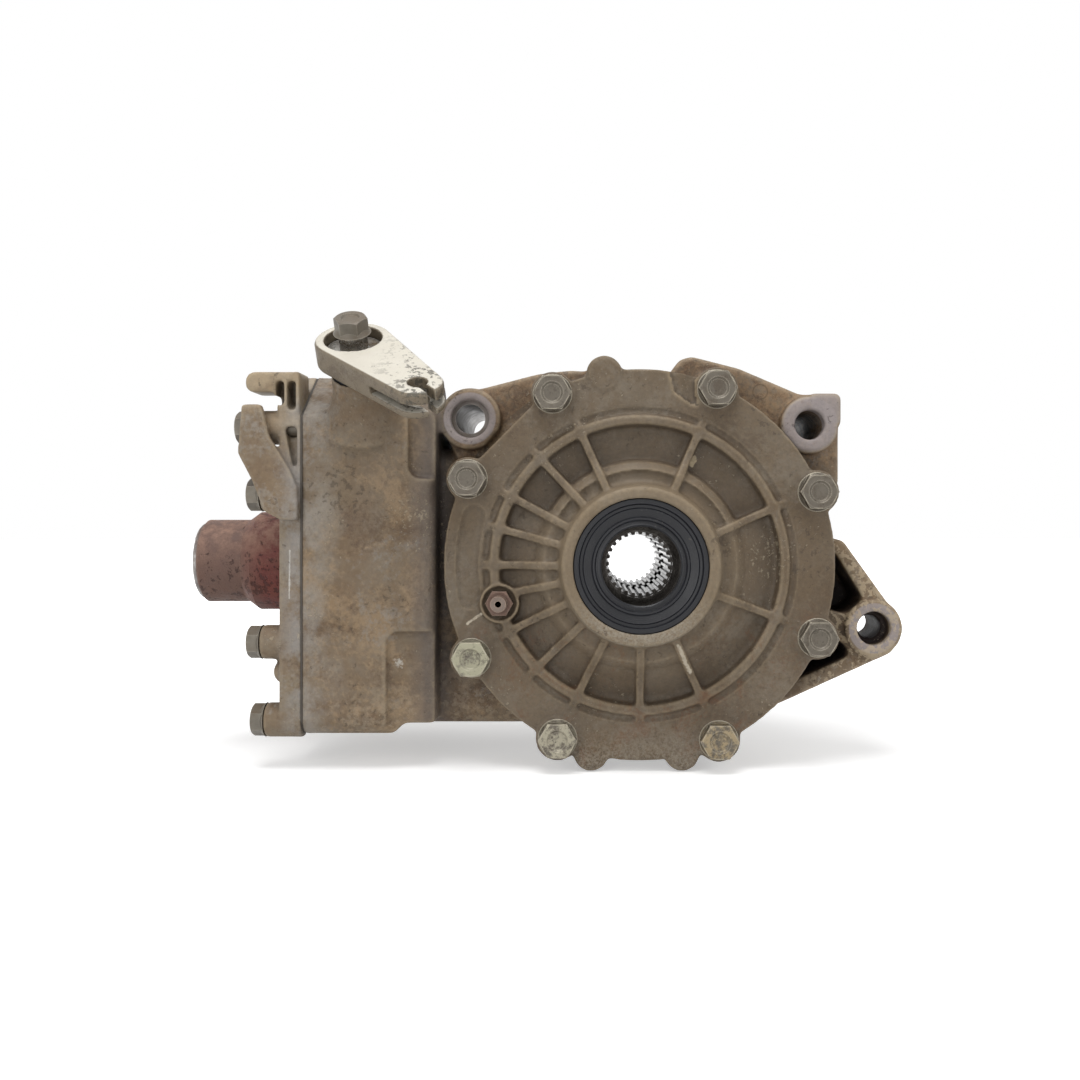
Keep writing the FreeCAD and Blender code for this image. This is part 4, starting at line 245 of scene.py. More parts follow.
def make_round_group():
    """A round patch about a line along Y: 1 inside the radius, with the distance from the line."""
    tree, given, result = new_group("round_patch", [("Centre X", "Float", 0.0), ("Centre Z", "Float", 0.0),
                                                    ("Radius", "Float", 0.01), ("Softness", "Float", 0.0006)],
                                    [("Mask", "Float"), ("Distance", "Float")])
    place = put(tree, "SeparateXYZ", Vector=object_place(tree)).outputs
    across = maths(tree, "SUBTRACT", place["X"], given["Centre X"])
    up = maths(tree, "SUBTRACT", place["Z"], given["Centre Z"])
    away = maths(tree, "SQRT", maths(tree, "ADD", maths(tree, "MULTIPLY", across, across),
                                     maths(tree, "MULTIPLY", up, up)))
    inside = remap(tree, maths(tree, "SUBTRACT", given["Radius"], away), 0.0, given["Softness"])
    feed(tree, inside, result["Mask"])
    feed(tree, away, result["Distance"])
    return tree


def make_streak_group():
    """A thin scratch between two places, given by x and z."""
    tree, given, result = new_group("streak", [("Start", "Vector", (0, 0, 0)), ("End", "Vector", (0, 0, 0)),
                                               ("Width", "Float", 0.001)], [("Mask", "Float")])
    flat = vector_maths(tree, "MULTIPLY", object_place(tree), (1.0, 0.0, 1.0))
    wander = noise(tree, object_place(tree), 260.0, 3.0, 0.6)
    from_start = vector_maths(tree, "SUBTRACT", flat, given["Start"])
    span = vector_maths(tree, "SUBTRACT", given["End"], given["Start"])
    share = maths(tree, "DIVIDE", vector_maths(tree, "DOT_PRODUCT", from_start, span),
                  vector_maths(tree, "DOT_PRODUCT", span, span))
    share = remap(tree, share, 0.0, 1.0)
    nearest = put(tree, "VectorMath", operation="SCALE", Scale=share)
    feed(tree, span, nearest.inputs[0])
    away = vector_maths(tree, "LENGTH", vector_maths(tree, "SUBTRACT", from_start, nearest.outputs["Vector"]))
    edge = maths(tree, "MULTIPLY", given["Width"], remap(tree, wander, 0.3, 0.7, 0.25, 1.4))
    inside = remap(tree, maths(tree, "SUBTRACT", edge, away), -0.0002, 0.0002)
    broken = remap(tree, noise(tree, object_place(tree), 340.0, 3.0, 0.6), 0.3, 0.5, 0.35, 1.0)
    feed(tree, maths(tree, "MULTIPLY", inside, broken), result["Mask"])
    return tree


def make_stain_group():
    """Stains: broad blots with ragged edges that fade through fine flecks."""
    tree, given, result = new_group("stains", [("Scale", "Float", 40.0), ("Share", "Float", 0.3),
                                               ("Shift", "Float", 0.0)], [("Mask", "Float")])
    shift = put(tree, "CombineXYZ", X=given["Shift"]).outputs[0]
    place = vector_maths(tree, "ADD", object_place(tree), shift)
    broad = noise(tree, place, given["Scale"], 6.0, 0.68, 0.8)
    fleck = noise(tree, place, maths(tree, "MULTIPLY", given["Scale"], 14.0), 3.0, 0.7)
    level = maths(tree, "MULTIPLY_ADD", maths(tree, "SUBTRACT", fleck, 0.5), 0.5, broad)
    edge = maths(tree, "SUBTRACT", 0.7, maths(tree, "MULTIPLY", given["Share"], 0.4))
    feed(tree, remap(tree, maths(tree, "SUBTRACT", level, edge), -0.05, 0.1), result["Mask"])
    return tree


EDGES = make_edge_group()
HOLLOW_SHADE = make_hollow_group()
SPECKS = make_speck_group()
GRAIN = make_grain_group()
SOIL = make_soil_group()
ROUND = make_round_group()
STREAK = make_streak_group()
STAINS = make_stain_group()


def start_material(name, **shader_values):
    """Start a material and return it with its tree and its principled shader."""
    material = bpy.data.materials.new(name)
    material.use_nodes = True
    tree = material.node_tree
    shader = tree.nodes["Principled BSDF"]
    for socket_name, value in shader_values.items():
        shader.inputs[socket_name.replace("_", " ")].default_value = value
    return material, tree, shader


def raise_surface(tree, shader, height, distance, strength=1.0):
    """Bump the shader's surface by a height."""
    bump = put(tree, "Bump", Strength=strength, Distance=distance, Height=height)
    feed(tree, bump.outputs["Normal"], shader.inputs["Normal"])


def toward(tree, axis, start, end):
    """Return 0 before start and 1 past end along one axis of the part's frame."""
    place = put(tree, "SeparateXYZ", Vector=object_place(tree)).outputs[axis]
    return remap(tree, place, start, end)


# Castings
def poured(tree, kind):
    """Return a casting's own mask of its edges or creases."""
    node = put(tree, "Attribute")
    node.attribute_name = kind
    return node.outputs["Fac"]


def stain(tree, colour, shade, scale, share, shift, strength, where=1.0):
    """Lay broad ragged stains over a colour."""
    mask = use_group(tree, STAINS, Scale=scale, Share=share, Shift=shift)["Mask"]
    return coat(tree, colour, mask, maths(tree, "MULTIPLY", strength, where), shade)


def scratch(tree, colour, start, end, width, shade=(196, 188, 172)):
    """Lay one pale scratch over a near face's colour; its ends are given as x and z in metres."""
    mask = use_group(tree, STREAK, Start=(start[0], 0.0, start[1]), End=(end[0], 0.0, end[1]),
                     Width=width)["Mask"]
    mask = maths(tree, "MULTIPLY", mask, toward(tree, "Y", 0.02, 0.015))
    return coat(tree, colour, mask, 0.85, tone(*shade))


def ring_mark(tree, colour, place_x, place_z, radius):
    """Lay the faint ring that a round tool left in the casting's skin."""
    outer = use_group(tree, ROUND, Centre_X=place_x, Centre_Z=place_z, Radius=radius, Softness=0.0003)["Mask"]
    inner = use_group(tree, ROUND, Centre_X=place_x, Centre_Z=place_z, Radius=radius - 0.0006,
                      Softness=0.0003)["Mask"]
    ring = maths(tree, "SUBTRACT", outer, inner)
    return coat(tree, colour, ring, 0.6, tone(84, 70, 54))


def cast_finish(name, bare, film, soil, deep, soil_amount, patch_scale=24.0, reach=0.009, hollow_shade_share=0.85):
    """Soiled cast aluminium: bare metal under a brown film, with painted shade in hollows and creases in the
    deep tone, and lighter on worn edges.
    """
    material, tree, shader = start_material(name, Specular_IOR_Level=0.35)
    soiled = use_group(tree, SOIL, Patch_Scale=patch_scale, Amount=soil_amount, Settling=0.12)
    colour = blend(tree, soiled["Tint"], film, bare)
    colour = coat(tree, colour, soiled["Mask"], 0.8, soil)
    # Painted shade: hollows and creases are darkened towards the deep tone.
    hollow_shade = use_group(tree, HOLLOW_SHADE, Reach=reach, Low=0.2, High=0.92)["Mask"]
    colour = coat(tree, colour, hollow_shade, hollow_shade_share, deep)
    crease = remap(tree, poured(tree, "crease"), 0.05, 0.8)
    colour = coat(tree, colour, crease, 0.5, deep)
    patchy = remap(tree, noise(tree, object_place(tree), 420.0, 4.0, 0.7), 0.3, 0.62, 0.45, 1.0)
    worn = maths(tree, "MULTIPLY", remap(tree, poured(tree, "edge"), 0.06, 0.7), patchy)
    return material, tree, shader, colour, hollow_shade, worn


def finish_cast(tree, shader, colour, worn, wear_colour, wear_amount=0.5, grain=0.00035):
    """Close a casting's material with its worn edges, small stains, roughness and cast skin."""
    place = object_place(tree)
    colour = coat(tree, colour, worn, wear_amount, wear_colour)
    mottle = remap(tree, noise(tree, place, 520.0, 4.0, 0.75), 0.3, 0.7)
    colour = blend(tree, 0.35, colour, blend(tree, mottle, tone(58, 48, 38), tone(176, 162, 140)),
                   "SOFT_LIGHT")
    stains = use_group(tree, SPECKS, Scale=330.0, Share=0.16, Clusters=45.0)["Mask"]
    colour = coat(tree, colour, stains, 0.5, tone(58, 48, 38))
    dust = use_group(tree, SPECKS, Scale=620.0, Share=0.12, Clusters=28.0)["Mask"]
    colour = coat(tree, colour, dust, 0.35, tone(176, 163, 140))
    feed(tree, colour, shader.inputs["Base Color"])
    feed(tree, remap(tree, noise(tree, place, 70.0), 0.3, 0.7, 0.48, 0.76), shader.inputs["Roughness"])
    height = use_group(tree, GRAIN, Grain=900.0, Waves=70.0)["Height"]
    height = maths(tree, "MULTIPLY_ADD", dust, 0.3, height)
    height = maths(tree, "MULTIPLY_ADD", stains, -0.2, height)
    raise_surface(tree, shader, height, grain)


def machined_patch(tree, colour, place_x, place_z, radius, metal):
    """Lay a clean faced ring over a colour, round a hole along Y."""
    patch = use_group(tree, ROUND, Centre_X=place_x, Centre_Z=place_z, Radius=radius)
    near = toward(tree, "Y", 0.0085, 0.0078)
    nick = remap(tree, noise(tree, object_place(tree), 700.0, 5.0, 0.8), 0.3, 0.5, 0.6, 0.9)
    return coat(tree, colour, maths(tree, "MULTIPLY", patch["Mask"], near), nick, metal)


def case_material():
    """The gear case: tan soil over grey metal, scuffed by the seam, with faced eyes and a pale lower edge."""
    material, tree, shader, colour, hollow_shade, worn = cast_finish(
        "cast_case", tone(128, 119, 106), tone(120, 106, 87), tone(110, 91, 69), tone(50, 40, 31), 0.55,
        patch_scale=30.0, reach=0.016)
    place = object_place(tree)
    colour = stain(tree, colour, tone(152, 131, 104), 34.0, 0.42, 0.3, 0.6)
    colour = stain(tree, colour, tone(86, 67, 50), 46.0, 0.3, 1.7, 0.65)
    colour = stain(tree, colour, tone(140, 138, 134), 28.0, 0.22, 2.9, 0.55)
    scuffs = remap(tree, noise(tree, place, 55.0, 7.0, 0.72), 0.42, 0.58)
    seam = maths(tree, "MULTIPLY", toward(tree, "X", SEAM_X + 0.02, SEAM_X + 0.003), scuffs)
    colour = coat(tree, colour, seam, 0.7, tone(148, 144, 138))
    # Painted shade: a dark vertical band where the box meets the recess beside the cover.
    recess_band_shade = maths(tree, "MULTIPLY", toward(tree, "X", -0.098, -0.09), toward(tree, "X", -0.079, -0.085))
    colour = coat(tree, colour, recess_band_shade, 0.55, tone(88, 84, 84))
    low = maths(tree, "MULTIPLY", toward(tree, "Z", CASE_LOW.z + 0.05, CASE_LOW.z + 0.012),
                use_group(tree, SPECKS, Scale=260.0, Share=0.4, Clusters=50.0)["Mask"])
    colour = coat(tree, colour, low, 0.4, tone(160, 148, 130))
    behind = maths(tree, "SUBTRACT", 1.0, use_group(tree, ROUND, Radius=COVER_RADIUS)["Mask"])
    plate = maths(tree, "MULTIPLY", behind, toward(tree, "X", -0.082, -0.078))
    plate = maths(tree, "MULTIPLY", plate, toward(tree, "Z", 0.035, 0.045))
    flecks = remap(tree, noise(tree, place, 420.0, 7.0, 0.8), 0.42, 0.56)
    colour = coat(tree, colour, maths(tree, "MULTIPLY", plate, flecks), 0.55, tone(142, 116, 88))
    colour = stain(tree, colour, tone(78, 58, 42), 170.0, 0.4, 6.3, 0.7, plate)
    faced = tone(148, 141, 141)
    for (x, z), radius in ((LEFT_EYE, 0.0114), (RIGHT_EYE, 0.0122), (REAR_EYE, 0.0112)):
        colour = machined_patch(tree, colour, x, z, radius, faced)
    corner = maths(tree, "MULTIPLY", toward(tree, "X", 0.0735, 0.0742), toward(tree, "Z", 0.0598, 0.0605))
    corner = maths(tree, "MULTIPLY", corner, toward(tree, "Y", 0.0034, 0.0028))
    colour = coat(tree, colour, corner, 0.85, faced)
    # Painted shade: the bracket's pockets, deep in their hollows, are darkened nearly black.
    pockets = maths(tree, "MULTIPLY", toward(tree, "X", 0.058, 0.064), toward(tree, "Z", 0.016, 0.01))
    pockets = maths(tree, "MULTIPLY", pockets, toward(tree, "Y", 0.0095, 0.013))
    pockets = maths(tree, "MULTIPLY", pockets, remap(tree, hollow_shade, 0.12, 0.5))
    colour = coat(tree, colour, pockets, toward(tree, "Y", 0.04, 0.034), tone(38, 28, 25))
    crust = use_group(tree, SPECKS, Scale=380.0, Share=0.5, Clusters=60.0)["Mask"]
    rims = maths(tree, "MULTIPLY", toward(tree, "X", 0.07, 0.08), toward(tree, "Y", 0.0095, 0.0085))
    rims = maths(tree, "MULTIPLY", rims, toward(tree, "Z", 0.02, 0.014))
    colour = coat(tree, colour, maths(tree, "MULTIPLY", rims, crust), 0.6, tone(178, 164, 140))
    ragged = remap(tree, noise(tree, place, 760.0, 7.0, 0.85), 0.36, 0.64, 0.0002, 0.0036)
    nub = use_group(tree, ROUND, Centre_X=-0.1013, Centre_Z=-0.0416, Radius=ragged, Softness=0.0008)["Mask"]
    colour = coat(tree, colour, nub, toward(tree, "Y", 0.01, 0.0), tone(172, 168, 160))
    for x, z in ((-0.0528, 0.0736), (0.0526, 0.0741)):
        colour = ring_mark(tree, colour, x, z, 0.0036)
    finish_cast(tree, shader, colour, worn, tone(172, 159, 138))
    return material


def cover_material():
    """The axle cover: an even brown film, with painted shade in its pockets and a painted highlight on its
    raised ribs, pale on rims.
    """
    material, tree, shader, colour, _, worn = cast_finish(
        "cast_cover", tone(112, 103, 90), tone(108, 95, 78), tone(98, 83, 64), tone(54, 45, 36), 0.5,
        patch_scale=22.0, reach=0.014)
    colour = stain(tree, colour, tone(124, 116, 104), 30.0, 0.34, 0.9, 0.5)
    colour = stain(tree, colour, tone(82, 68, 53), 42.0, 0.3, 4.1, 0.5)
    low_half = toward(tree, "Z", -0.01, -0.03)
    colour = stain(tree, colour, tone(104, 72, 48), 60.0, 0.3, 2.3, 0.6, low_half)
    # Painted shade: the sunk floors between the ribs are darkened.
    sunk = toward(tree, "Y", -0.0095, -0.0055)
    sunk_floor_shade = maths(tree, "MULTIPLY", sunk, use_group(tree, ROUND, Radius=POCKET_RADIUS)["Mask"])
    colour = coat(tree, colour, sunk_floor_shade, 0.42, tone(66, 56, 44))
    # Painted highlight: the nearest, most raised faces (hub and rib tops) are lightened.
    front = maths(tree, "MULTIPLY", toward(tree, "Y", COVER_LOW.y + 0.013, COVER_LOW.y + 0.003), 0.4)
    colour = blend(tree, front, colour, tone(146, 132, 110))
    ring = use_group(tree, ROUND, Radius=0.0335)
    low = maths(tree, "MULTIPLY", ring["Mask"], toward(tree, "Z", -0.012, -0.026))
    crust = remap(tree, noise(tree, object_place(tree), 950.0, 6.0, 0.8), 0.42, 0.56)
    colour = coat(tree, colour, maths(tree, "MULTIPLY", low, crust), 0.6, tone(158, 154, 144))
    rim = maths(tree, "MULTIPLY", toward(tree, "Z", COVER_LOW.z + 0.022, COVER_LOW.z + 0.002), crust)
    colour = coat(tree, colour, rim, 0.6, tone(160, 152, 138))
    colour = scratch(tree, colour, (0.0152, -0.0326), (0.0208, -0.0446), 0.0009)
    colour = scratch(tree, colour, (-0.0722, -0.0247), (-0.0662, -0.0205), 0.0006)
    colour = scratch(tree, colour, (0.0218, 0.0418), (0.0232, 0.045), 0.0012, (182, 168, 142))
    finish_cast(tree, shader, colour, worn, tone(158, 143, 119), 0.7)
    return material


def front_material():
    """The front cover: paler in patches towards the top of its upper arm, and grey scuffs by the seam."""
    material, tree, shader, colour, _, worn = cast_finish(
        "cast_front", tone(132, 124, 110), tone(130, 113, 91), tone(114, 95, 74), tone(52, 42, 33), 0.5,
        patch_scale=34.0, reach=0.014)
    place = object_place(tree)
    colour = stain(tree, colour, tone(88, 70, 54), 50.0, 0.3, 3.3, 0.6)
    colour = stain(tree, colour, tone(146, 143, 138), 34.0, 0.3, 5.1, 0.6)
    scuffs = remap(tree, noise(tree, place, 60.0, 7.0, 0.72), 0.4, 0.56)
    seam = maths(tree, "MULTIPLY", toward(tree, "X", SEAM_X - 0.012, SEAM_X - 0.003), scuffs)
    colour = coat(tree, colour, seam, 0.7, tone(146, 144, 142))
    # Paler in patches towards the top of the upper arm.
    pale = remap(tree, noise(tree, place, 48.0, 6.0), 0.38, 0.6)
    pale = maths(tree, "MULTIPLY", pale, toward(tree, "Z", 0.02, 0.08))
    colour = coat(tree, colour, pale, 0.6, tone(184, 168, 142))
    colour = scratch(tree, colour, (-0.1466, 0.006), (-0.1469, -0.014), 0.00035, (190, 188, 184))
    finish_cast(tree, shader, colour, worn, tone(184, 171, 148))
    return material


# The castings as they were poured, each made from its own solid
BOLT_PLACES = [(BOLT_CIRCLE * math.cos(math.radians(angle)), BOLT_CIRCLE * math.sin(math.radians(angle)))
               for angle in BOLT_ANGLES]
COVER_STEP = [(0.0131, 0.095), (0.0131, 0.0792), (0.0144, 0.0729), (0.0211, 0.0678), (0.0248, 0.0664),
              (0.0233, 0.0715), (0.0232, 0.077), (0.0262, 0.0838), (0.029, 0.095)]


def seat_along(axis, centre, radius, start, end):
    """Return a test for the points inside a round seat, which is bored and faced along X or Y."""
    along = "XY".index(axis)
    across = [index for index in range(3) if index != along]

    def inside(places):
        away = numpy.hypot(places[:, across[0]] - centre[0], places[:, across[1]] - centre[1])
        return (away < radius) & (places[:, along] > start) & (places[:, along] < end)
    return inside


def bend_of(data, places, softened):
    """Return how far each point went in (edges) or out (creases) as the corners were softened."""
    normals = numpy.empty(len(data.vertices) * 3)
    data.vertices.foreach_get("normal", normals)
    return numpy.einsum("ij,ij->i", softened - places, normals.reshape(-1, 3))


def points_of(data):
    places = numpy.empty(len(data.vertices) * 3)
    data.vertices.foreach_get("co", places)
    return places.reshape(-1, 3)


def settle(piece):
    """Make the piece's modifiers part of its mesh."""
    view = bpy.context.evaluated_depsgraph_get()
    made = bpy.data.meshes.new_from_object(piece.evaluated_get(view))
    piece.modifiers.clear()
    old = piece.data
    piece.data = made
    bpy.data.meshes.remove(old)


def inside_outline(places, outline):
    """Return which places lie inside an outline of x and z corners."""
    inside = numpy.zeros(len(places), dtype=bool)
    for (x_one, z_one), (x_two, z_two) in zip(outline, outline[1:] + outline[:1]):
        spans = (z_one > places[:, 2]) != (z_two > places[:, 2])
        crossing = x_one + (places[:, 2] - z_one) * (x_two - x_one) / (z_two - z_one or 1e-9)
        inside ^= spans & (places[:, 0] < crossing)
    return inside


def lower_step(data, outline, level):
    """Lower the near face inside an outline to a level of y."""
    places = points_of(data)
    low = inside_outline(places, outline) & (places[:, 1] < level)
    places[low, 1] = level
    data.vertices.foreach_set("co", places.ravel())
    data.update()


def pour(name, body, grain, passes, triangles, seats, step=None):
    """Make a casting from a node's solid: soft corners everywhere but on its machined seats."""
    mesh = bmesh.new()
    mesh.from_mesh(nodes[name].data)
    bmesh.ops.remove_doubles(mesh, verts=mesh.verts, dist=0.000002)
    data = bpy.data.meshes.new(name + "_casting")
    mesh.to_mesh(data)
    mesh.free()
    piece = bpy.data.objects.new(name + "_casting", data)
    bpy.context.scene.collection.objects.link(piece)
    skin = piece.modifiers.new("skin", "REMESH")
    skin.mode = "VOXEL"
    skin.voxel_size = grain
    skin.use_smooth_shade = True
    settle(piece)
    if step is not None:
        lower_step(piece.data, *step)
    places = points_of(piece.data)
    free = numpy.ones(len(places), dtype=bool)
    for inside in seats:
        free &= ~inside(places)
    cast = piece.vertex_groups.new(name="cast")
    cast.add(numpy.nonzero(free)[0].tolist(), 1.0, "REPLACE")
    soften = piece.modifiers.new("soften", "SMOOTH")
    soften.factor = 0.5
    soften.iterations = passes
    soften.vertex_group = "cast"
    before = piece.data.copy()
    settle(piece)
    bend = bend_of(before, places, points_of(piece.data))
    bpy.data.meshes.remove(before)
    for kind, level in (("edge", -bend), ("crease", bend)):
        layer = piece.data.attributes.new(kind, "FLOAT", "POINT")
        layer.data.foreach_set("value", numpy.clip(level / (0.00016 * passes ** 0.5), 0.0, 1.0))
    piece.vertex_groups.clear()
    thin = piece.modifiers.new("thin", "DECIMATE")
    thin.ratio = min(1.0, triangles / (2 * len(piece.data.polygons)))
    settle(piece)
    piece.data.name = name + "_casting"
    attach(piece, body)
    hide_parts(name)
    return piece


def pour_castings():
    """Pour the case, both covers and the lever, with their bores, seats and joints left true."""
    joint_y = COVER_HIGH.y
    face_seats = [seat_along("Y", place, 0.0088, -0.0075, -0.005) for place in BOLT_PLACES]
    cover_seats = face_seats + [
        seat_along("Y", AXLE_LINE, 0.0305, -0.03, 0.01),
        seat_along("Y", AXLE_LINE, 0.039, -0.0105, 0.01),
        seat_along("Y", AXLE_LINE, 0.1, joint_y - 0.0008, joint_y + 0.001),
    ]
    eyes = ((LEFT_EYE, 0.0112), (RIGHT_EYE, 0.011), (REAR_EYE, 0.0095))
    case_seats = [seat_along("Y", place, radius, -0.01, 0.1) for place, radius in eyes] + [
        seat_along("Y", AXLE_LINE, 0.1, joint_y - 0.001, joint_y + 0.0008),
        seat_along("Y", AXLE_LINE, 0.0305, 0.1, 0.14),
        seat_along("Y", AXLE_LINE, 0.039, 0.088, 0.11),
        seat_along("X", PINION_LINE, 0.033, -0.093, -0.06),
        seat_along("X", PINION_LINE, 0.2, GASKET_HIGH.x - 0.001, GASKET_HIGH.x + 0.0022),
    ]
    front_seats = [
        seat_along("X", PINION_LINE, 0.033, -0.16, -0.11),
        seat_along("X", PINION_LINE, 0.2, GASKET_LOW.x - 0.0022, GASKET_LOW.x + 0.001),
    ]
    made = [
        (pour("gear_case", "case", 0.0009, 18, 190000, case_seats), case_material()),
        (pour("axle_cover", "case", 0.00075, 13, 150000, cover_seats,
              (COVER_STEP, COVER_HIGH.y - STEP_DEPTH)), cover_material()),
        (pour("front_cover", "case", 0.0008, 7, 90000, front_seats), front_material()),
        (pour("brake_lever", "lever", 0.00055, 5, 60000, []), lever_material()),
    ]
    for piece, material in made:
        piece.data.materials.clear()
        piece.data.materials.append(material)


# Metals
def steel_material(name, base, shade, metallic, low_rough, high_rough, soil=None, soil_amount=0.0,
                   grain=500.0):
    """Plain or soiled steel with a cloudy tone, painted shade in its hollows laid in the soil colour, worn
    edges and fine marks.
    """
    material, tree, shader = start_material(name)
    place = object_place(tree)
    colour = blend(tree, remap(tree, noise(tree, place, 130.0, 5.0, 0.6), 0.3, 0.7), base, shade)
    if soil is not None:
        layer = use_group(tree, SOIL, Patch_Scale=60.0, Amount=soil_amount, Settling=0.2)["Mask"]
        # Painted shade: hollows are darkened into the soil layer, in the soil colour.
        hollow_shade = use_group(tree, HOLLOW_SHADE, Reach=0.004, Low=0.2, High=0.9)["Mask"]
        layer = maths(tree, "MAXIMUM", layer, maths(tree, "MULTIPLY", hollow_shade, 0.8))
        colour = blend(tree, layer, colour, soil)
        metal = maths(tree, "MULTIPLY", maths(tree, "SUBTRACT", 1.0, layer), metallic)
        feed(tree, metal, shader.inputs["Metallic"])
    else:
        shader.inputs["Metallic"].default_value = metallic
    worn = use_group(tree, EDGES, Width=0.0006, Breakup=0.4)["Mask"]
    bright = tuple(min(1.0, value * 1.7 + 0.04) for value in base[:3])
    colour = coat(tree, colour, worn, 0.55, (*bright, 1.0))
    feed(tree, colour, shader.inputs["Base Color"])
    feed(tree, remap(tree, noise(tree, place, 240.0, 4.0, 0.6), 0.3, 0.7, low_rough, high_rough),
         shader.inputs["Roughness"])
    raise_surface(tree, shader, noise(tree, place, grain, 4.0, 0.65), 0.00012)
    return material


def cover_bolt_material():
    """The cover's bolts: dull plating under soil, and pale plating on the two lower left heads."""
    material, tree, shader = start_material("cover_bolt_plating")
    place = object_place(tree)
    colour = blend(tree, noise(tree, place, 210.0, 5.0, 0.6), tone(104, 97, 86), tone(80, 74, 65))
    colour = stain(tree, colour, tone(70, 58, 44), 150.0, 0.35, 0.4, 0.6)
    low_left = maths(tree, "MULTIPLY", toward(tree, "X", -0.058, -0.062), toward(tree, "Z", -0.028, -0.03))
    fresh = maths(tree, "MULTIPLY", low_left, remap(tree, noise(tree, place, 190.0, 5.0, 0.7), 0.34, 0.5))
    colour = coat(tree, colour, fresh, 0.85, tone(156, 153, 130))
    bottom = remap(tree, noise(tree, place, 260.0, 6.0, 0.75), 0.44, 0.54)
    bottom = maths(tree, "MULTIPLY", bottom, toward(tree, "Z", -0.062, -0.064))
    left_bottom = maths(tree, "MULTIPLY", bottom, toward(tree, "X", 0.0, -0.01))
    colour = coat(tree, colour, left_bottom, 0.8, tone(164, 158, 138))
    right_bottom = maths(tree, "MULTIPLY", bottom, toward(tree, "X", 0.0, 0.01))
    colour = coat(tree, colour, right_bottom, 0.55, tone(176, 156, 118))
    # Painted shade: the flanges and head sides, set back behind the head tops, are darkened.
    flange = toward(tree, "Y", -0.0102, -0.0094)
    colour = coat(tree, colour, flange, 0.5, tone(66, 58, 47))
    # Painted shade: hollows round the heads are darkened.
    hollow_shade = use_group(tree, HOLLOW_SHADE, Reach=0.006, Low=0.35, High=0.97)["Mask"]
    colour = coat(tree, colour, hollow_shade, 0.85, tone(50, 43, 35))
    worn = use_group(tree, EDGES, Width=0.0011, Breakup=0.25)["Mask"]
    colour = coat(tree, colour, worn, 0.9, tone(176, 168, 150))
    spots = use_group(tree, SPECKS, Scale=700.0, Share=0.25, Clusters=90.0)["Mask"]
    colour = coat(tree, colour, spots, 0.5, tone(58, 50, 40))
    feed(tree, colour, shader.inputs["Base Color"])
    feed(tree, remap(tree, noise(tree, place, 150.0), 0.3, 0.7, 0.36, 0.55), shader.inputs["Roughness"])
    shader.inputs["Metallic"].default_value = 0.35
    raise_surface(tree, shader, noise(tree, place, 620.0, 5.0, 0.7), 0.00025)
    return material


def rust_material():
    """The input coupling: dark red brown rust, greyer on its neck, with pits and a pale crust on top."""
    material, tree, shader = start_material("rusty_coupling", Specular_IOR_Level=0.3)
    place = object_place(tree)
    colour = blend(tree, remap(tree, noise(tree, place, 60.0, 6.0, 0.62), 0.3, 0.7), tone(84, 40, 36),
                   tone(112, 56, 48))
    neck = toward(tree, "X", -0.166, -0.178)
    colour = coat(tree, colour, neck, 0.8, tone(98, 80, 71))
    up = put(tree, "SeparateXYZ", Vector=put(tree, "NewGeometry").outputs["Normal"]).outputs["Z"]
    bloom = maths(tree, "MULTIPLY", remap(tree, up, -0.1, 0.75, 0.12, 0.75),
                  remap(tree, noise(tree, place, 150.0, 6.0, 0.75), 0.4, 0.6))
    colour = blend(tree, bloom, colour, tone(152, 122, 106))
    pits = use_group(tree, SPECKS, Scale=420.0, Share=0.3, Clusters=50.0)["Mask"]
    colour = coat(tree, colour, pits, 0.6, tone(48, 27, 24))
    worn = use_group(tree, EDGES, Width=0.0009, Breakup=0.5)["Mask"]
    colour = coat(tree, colour, worn, 0.5, tone(146, 122, 108))
    feed(tree, colour, shader.inputs["Base Color"])
    feed(tree, remap(tree, noise(tree, place, 150.0), 0.3, 0.7, 0.5, 0.8), shader.inputs["Roughness"])
    height = maths(tree, "MULTIPLY_ADD", pits, -0.5, noise(tree, place, 380.0, 5.0, 0.7))
    raise_surface(tree, shader, height, 0.0004)
    return material


def breather_material():
    """The breather: a dull rusty hexagon with pale edges, and a dusty spigot in its middle."""
    material, tree, shader = start_material("breather_rust", Metallic=0.25)
    place = object_place(tree)
    low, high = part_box("breather_fitting")
    colour = blend(tree, noise(tree, place, 420.0, 5.0, 0.7), tone(112, 86, 72), tone(82, 62, 53))
    middle = use_group(tree, ROUND, Centre_X=(low.x + high.x) / 2, Centre_Z=(low.z + high.z) / 2,
                       Radius=0.0035)["Mask"]
    worn_off = remap(tree, noise(tree, place, 300.0, 4.0, 0.7), 0.25, 0.5, 0.6, 1.0)
    middle = maths(tree, "MULTIPLY", middle, worn_off)
    colour = blend(tree, middle, colour, tone(112, 98, 88))
    # Painted shade: hollows are darkened.
    hollow_shade = use_group(tree, HOLLOW_SHADE, Reach=0.003, Low=0.3, High=0.92)["Mask"]
    colour = coat(tree, colour, hollow_shade, 0.8, tone(52, 36, 30))
    worn = use_group(tree, EDGES, Width=0.0006, Breakup=0.25)["Mask"]
    colour = coat(tree, colour, worn, 0.8, tone(158, 138, 121))
    feed(tree, colour, shader.inputs["Base Color"])
    feed(tree, remap(tree, noise(tree, place, 500.0), 0.3, 0.7, 0.45, 0.65), shader.inputs["Roughness"])
    raise_surface(tree, shader, noise(tree, place, 800.0, 5.0, 0.7), 0.0002)
    return material


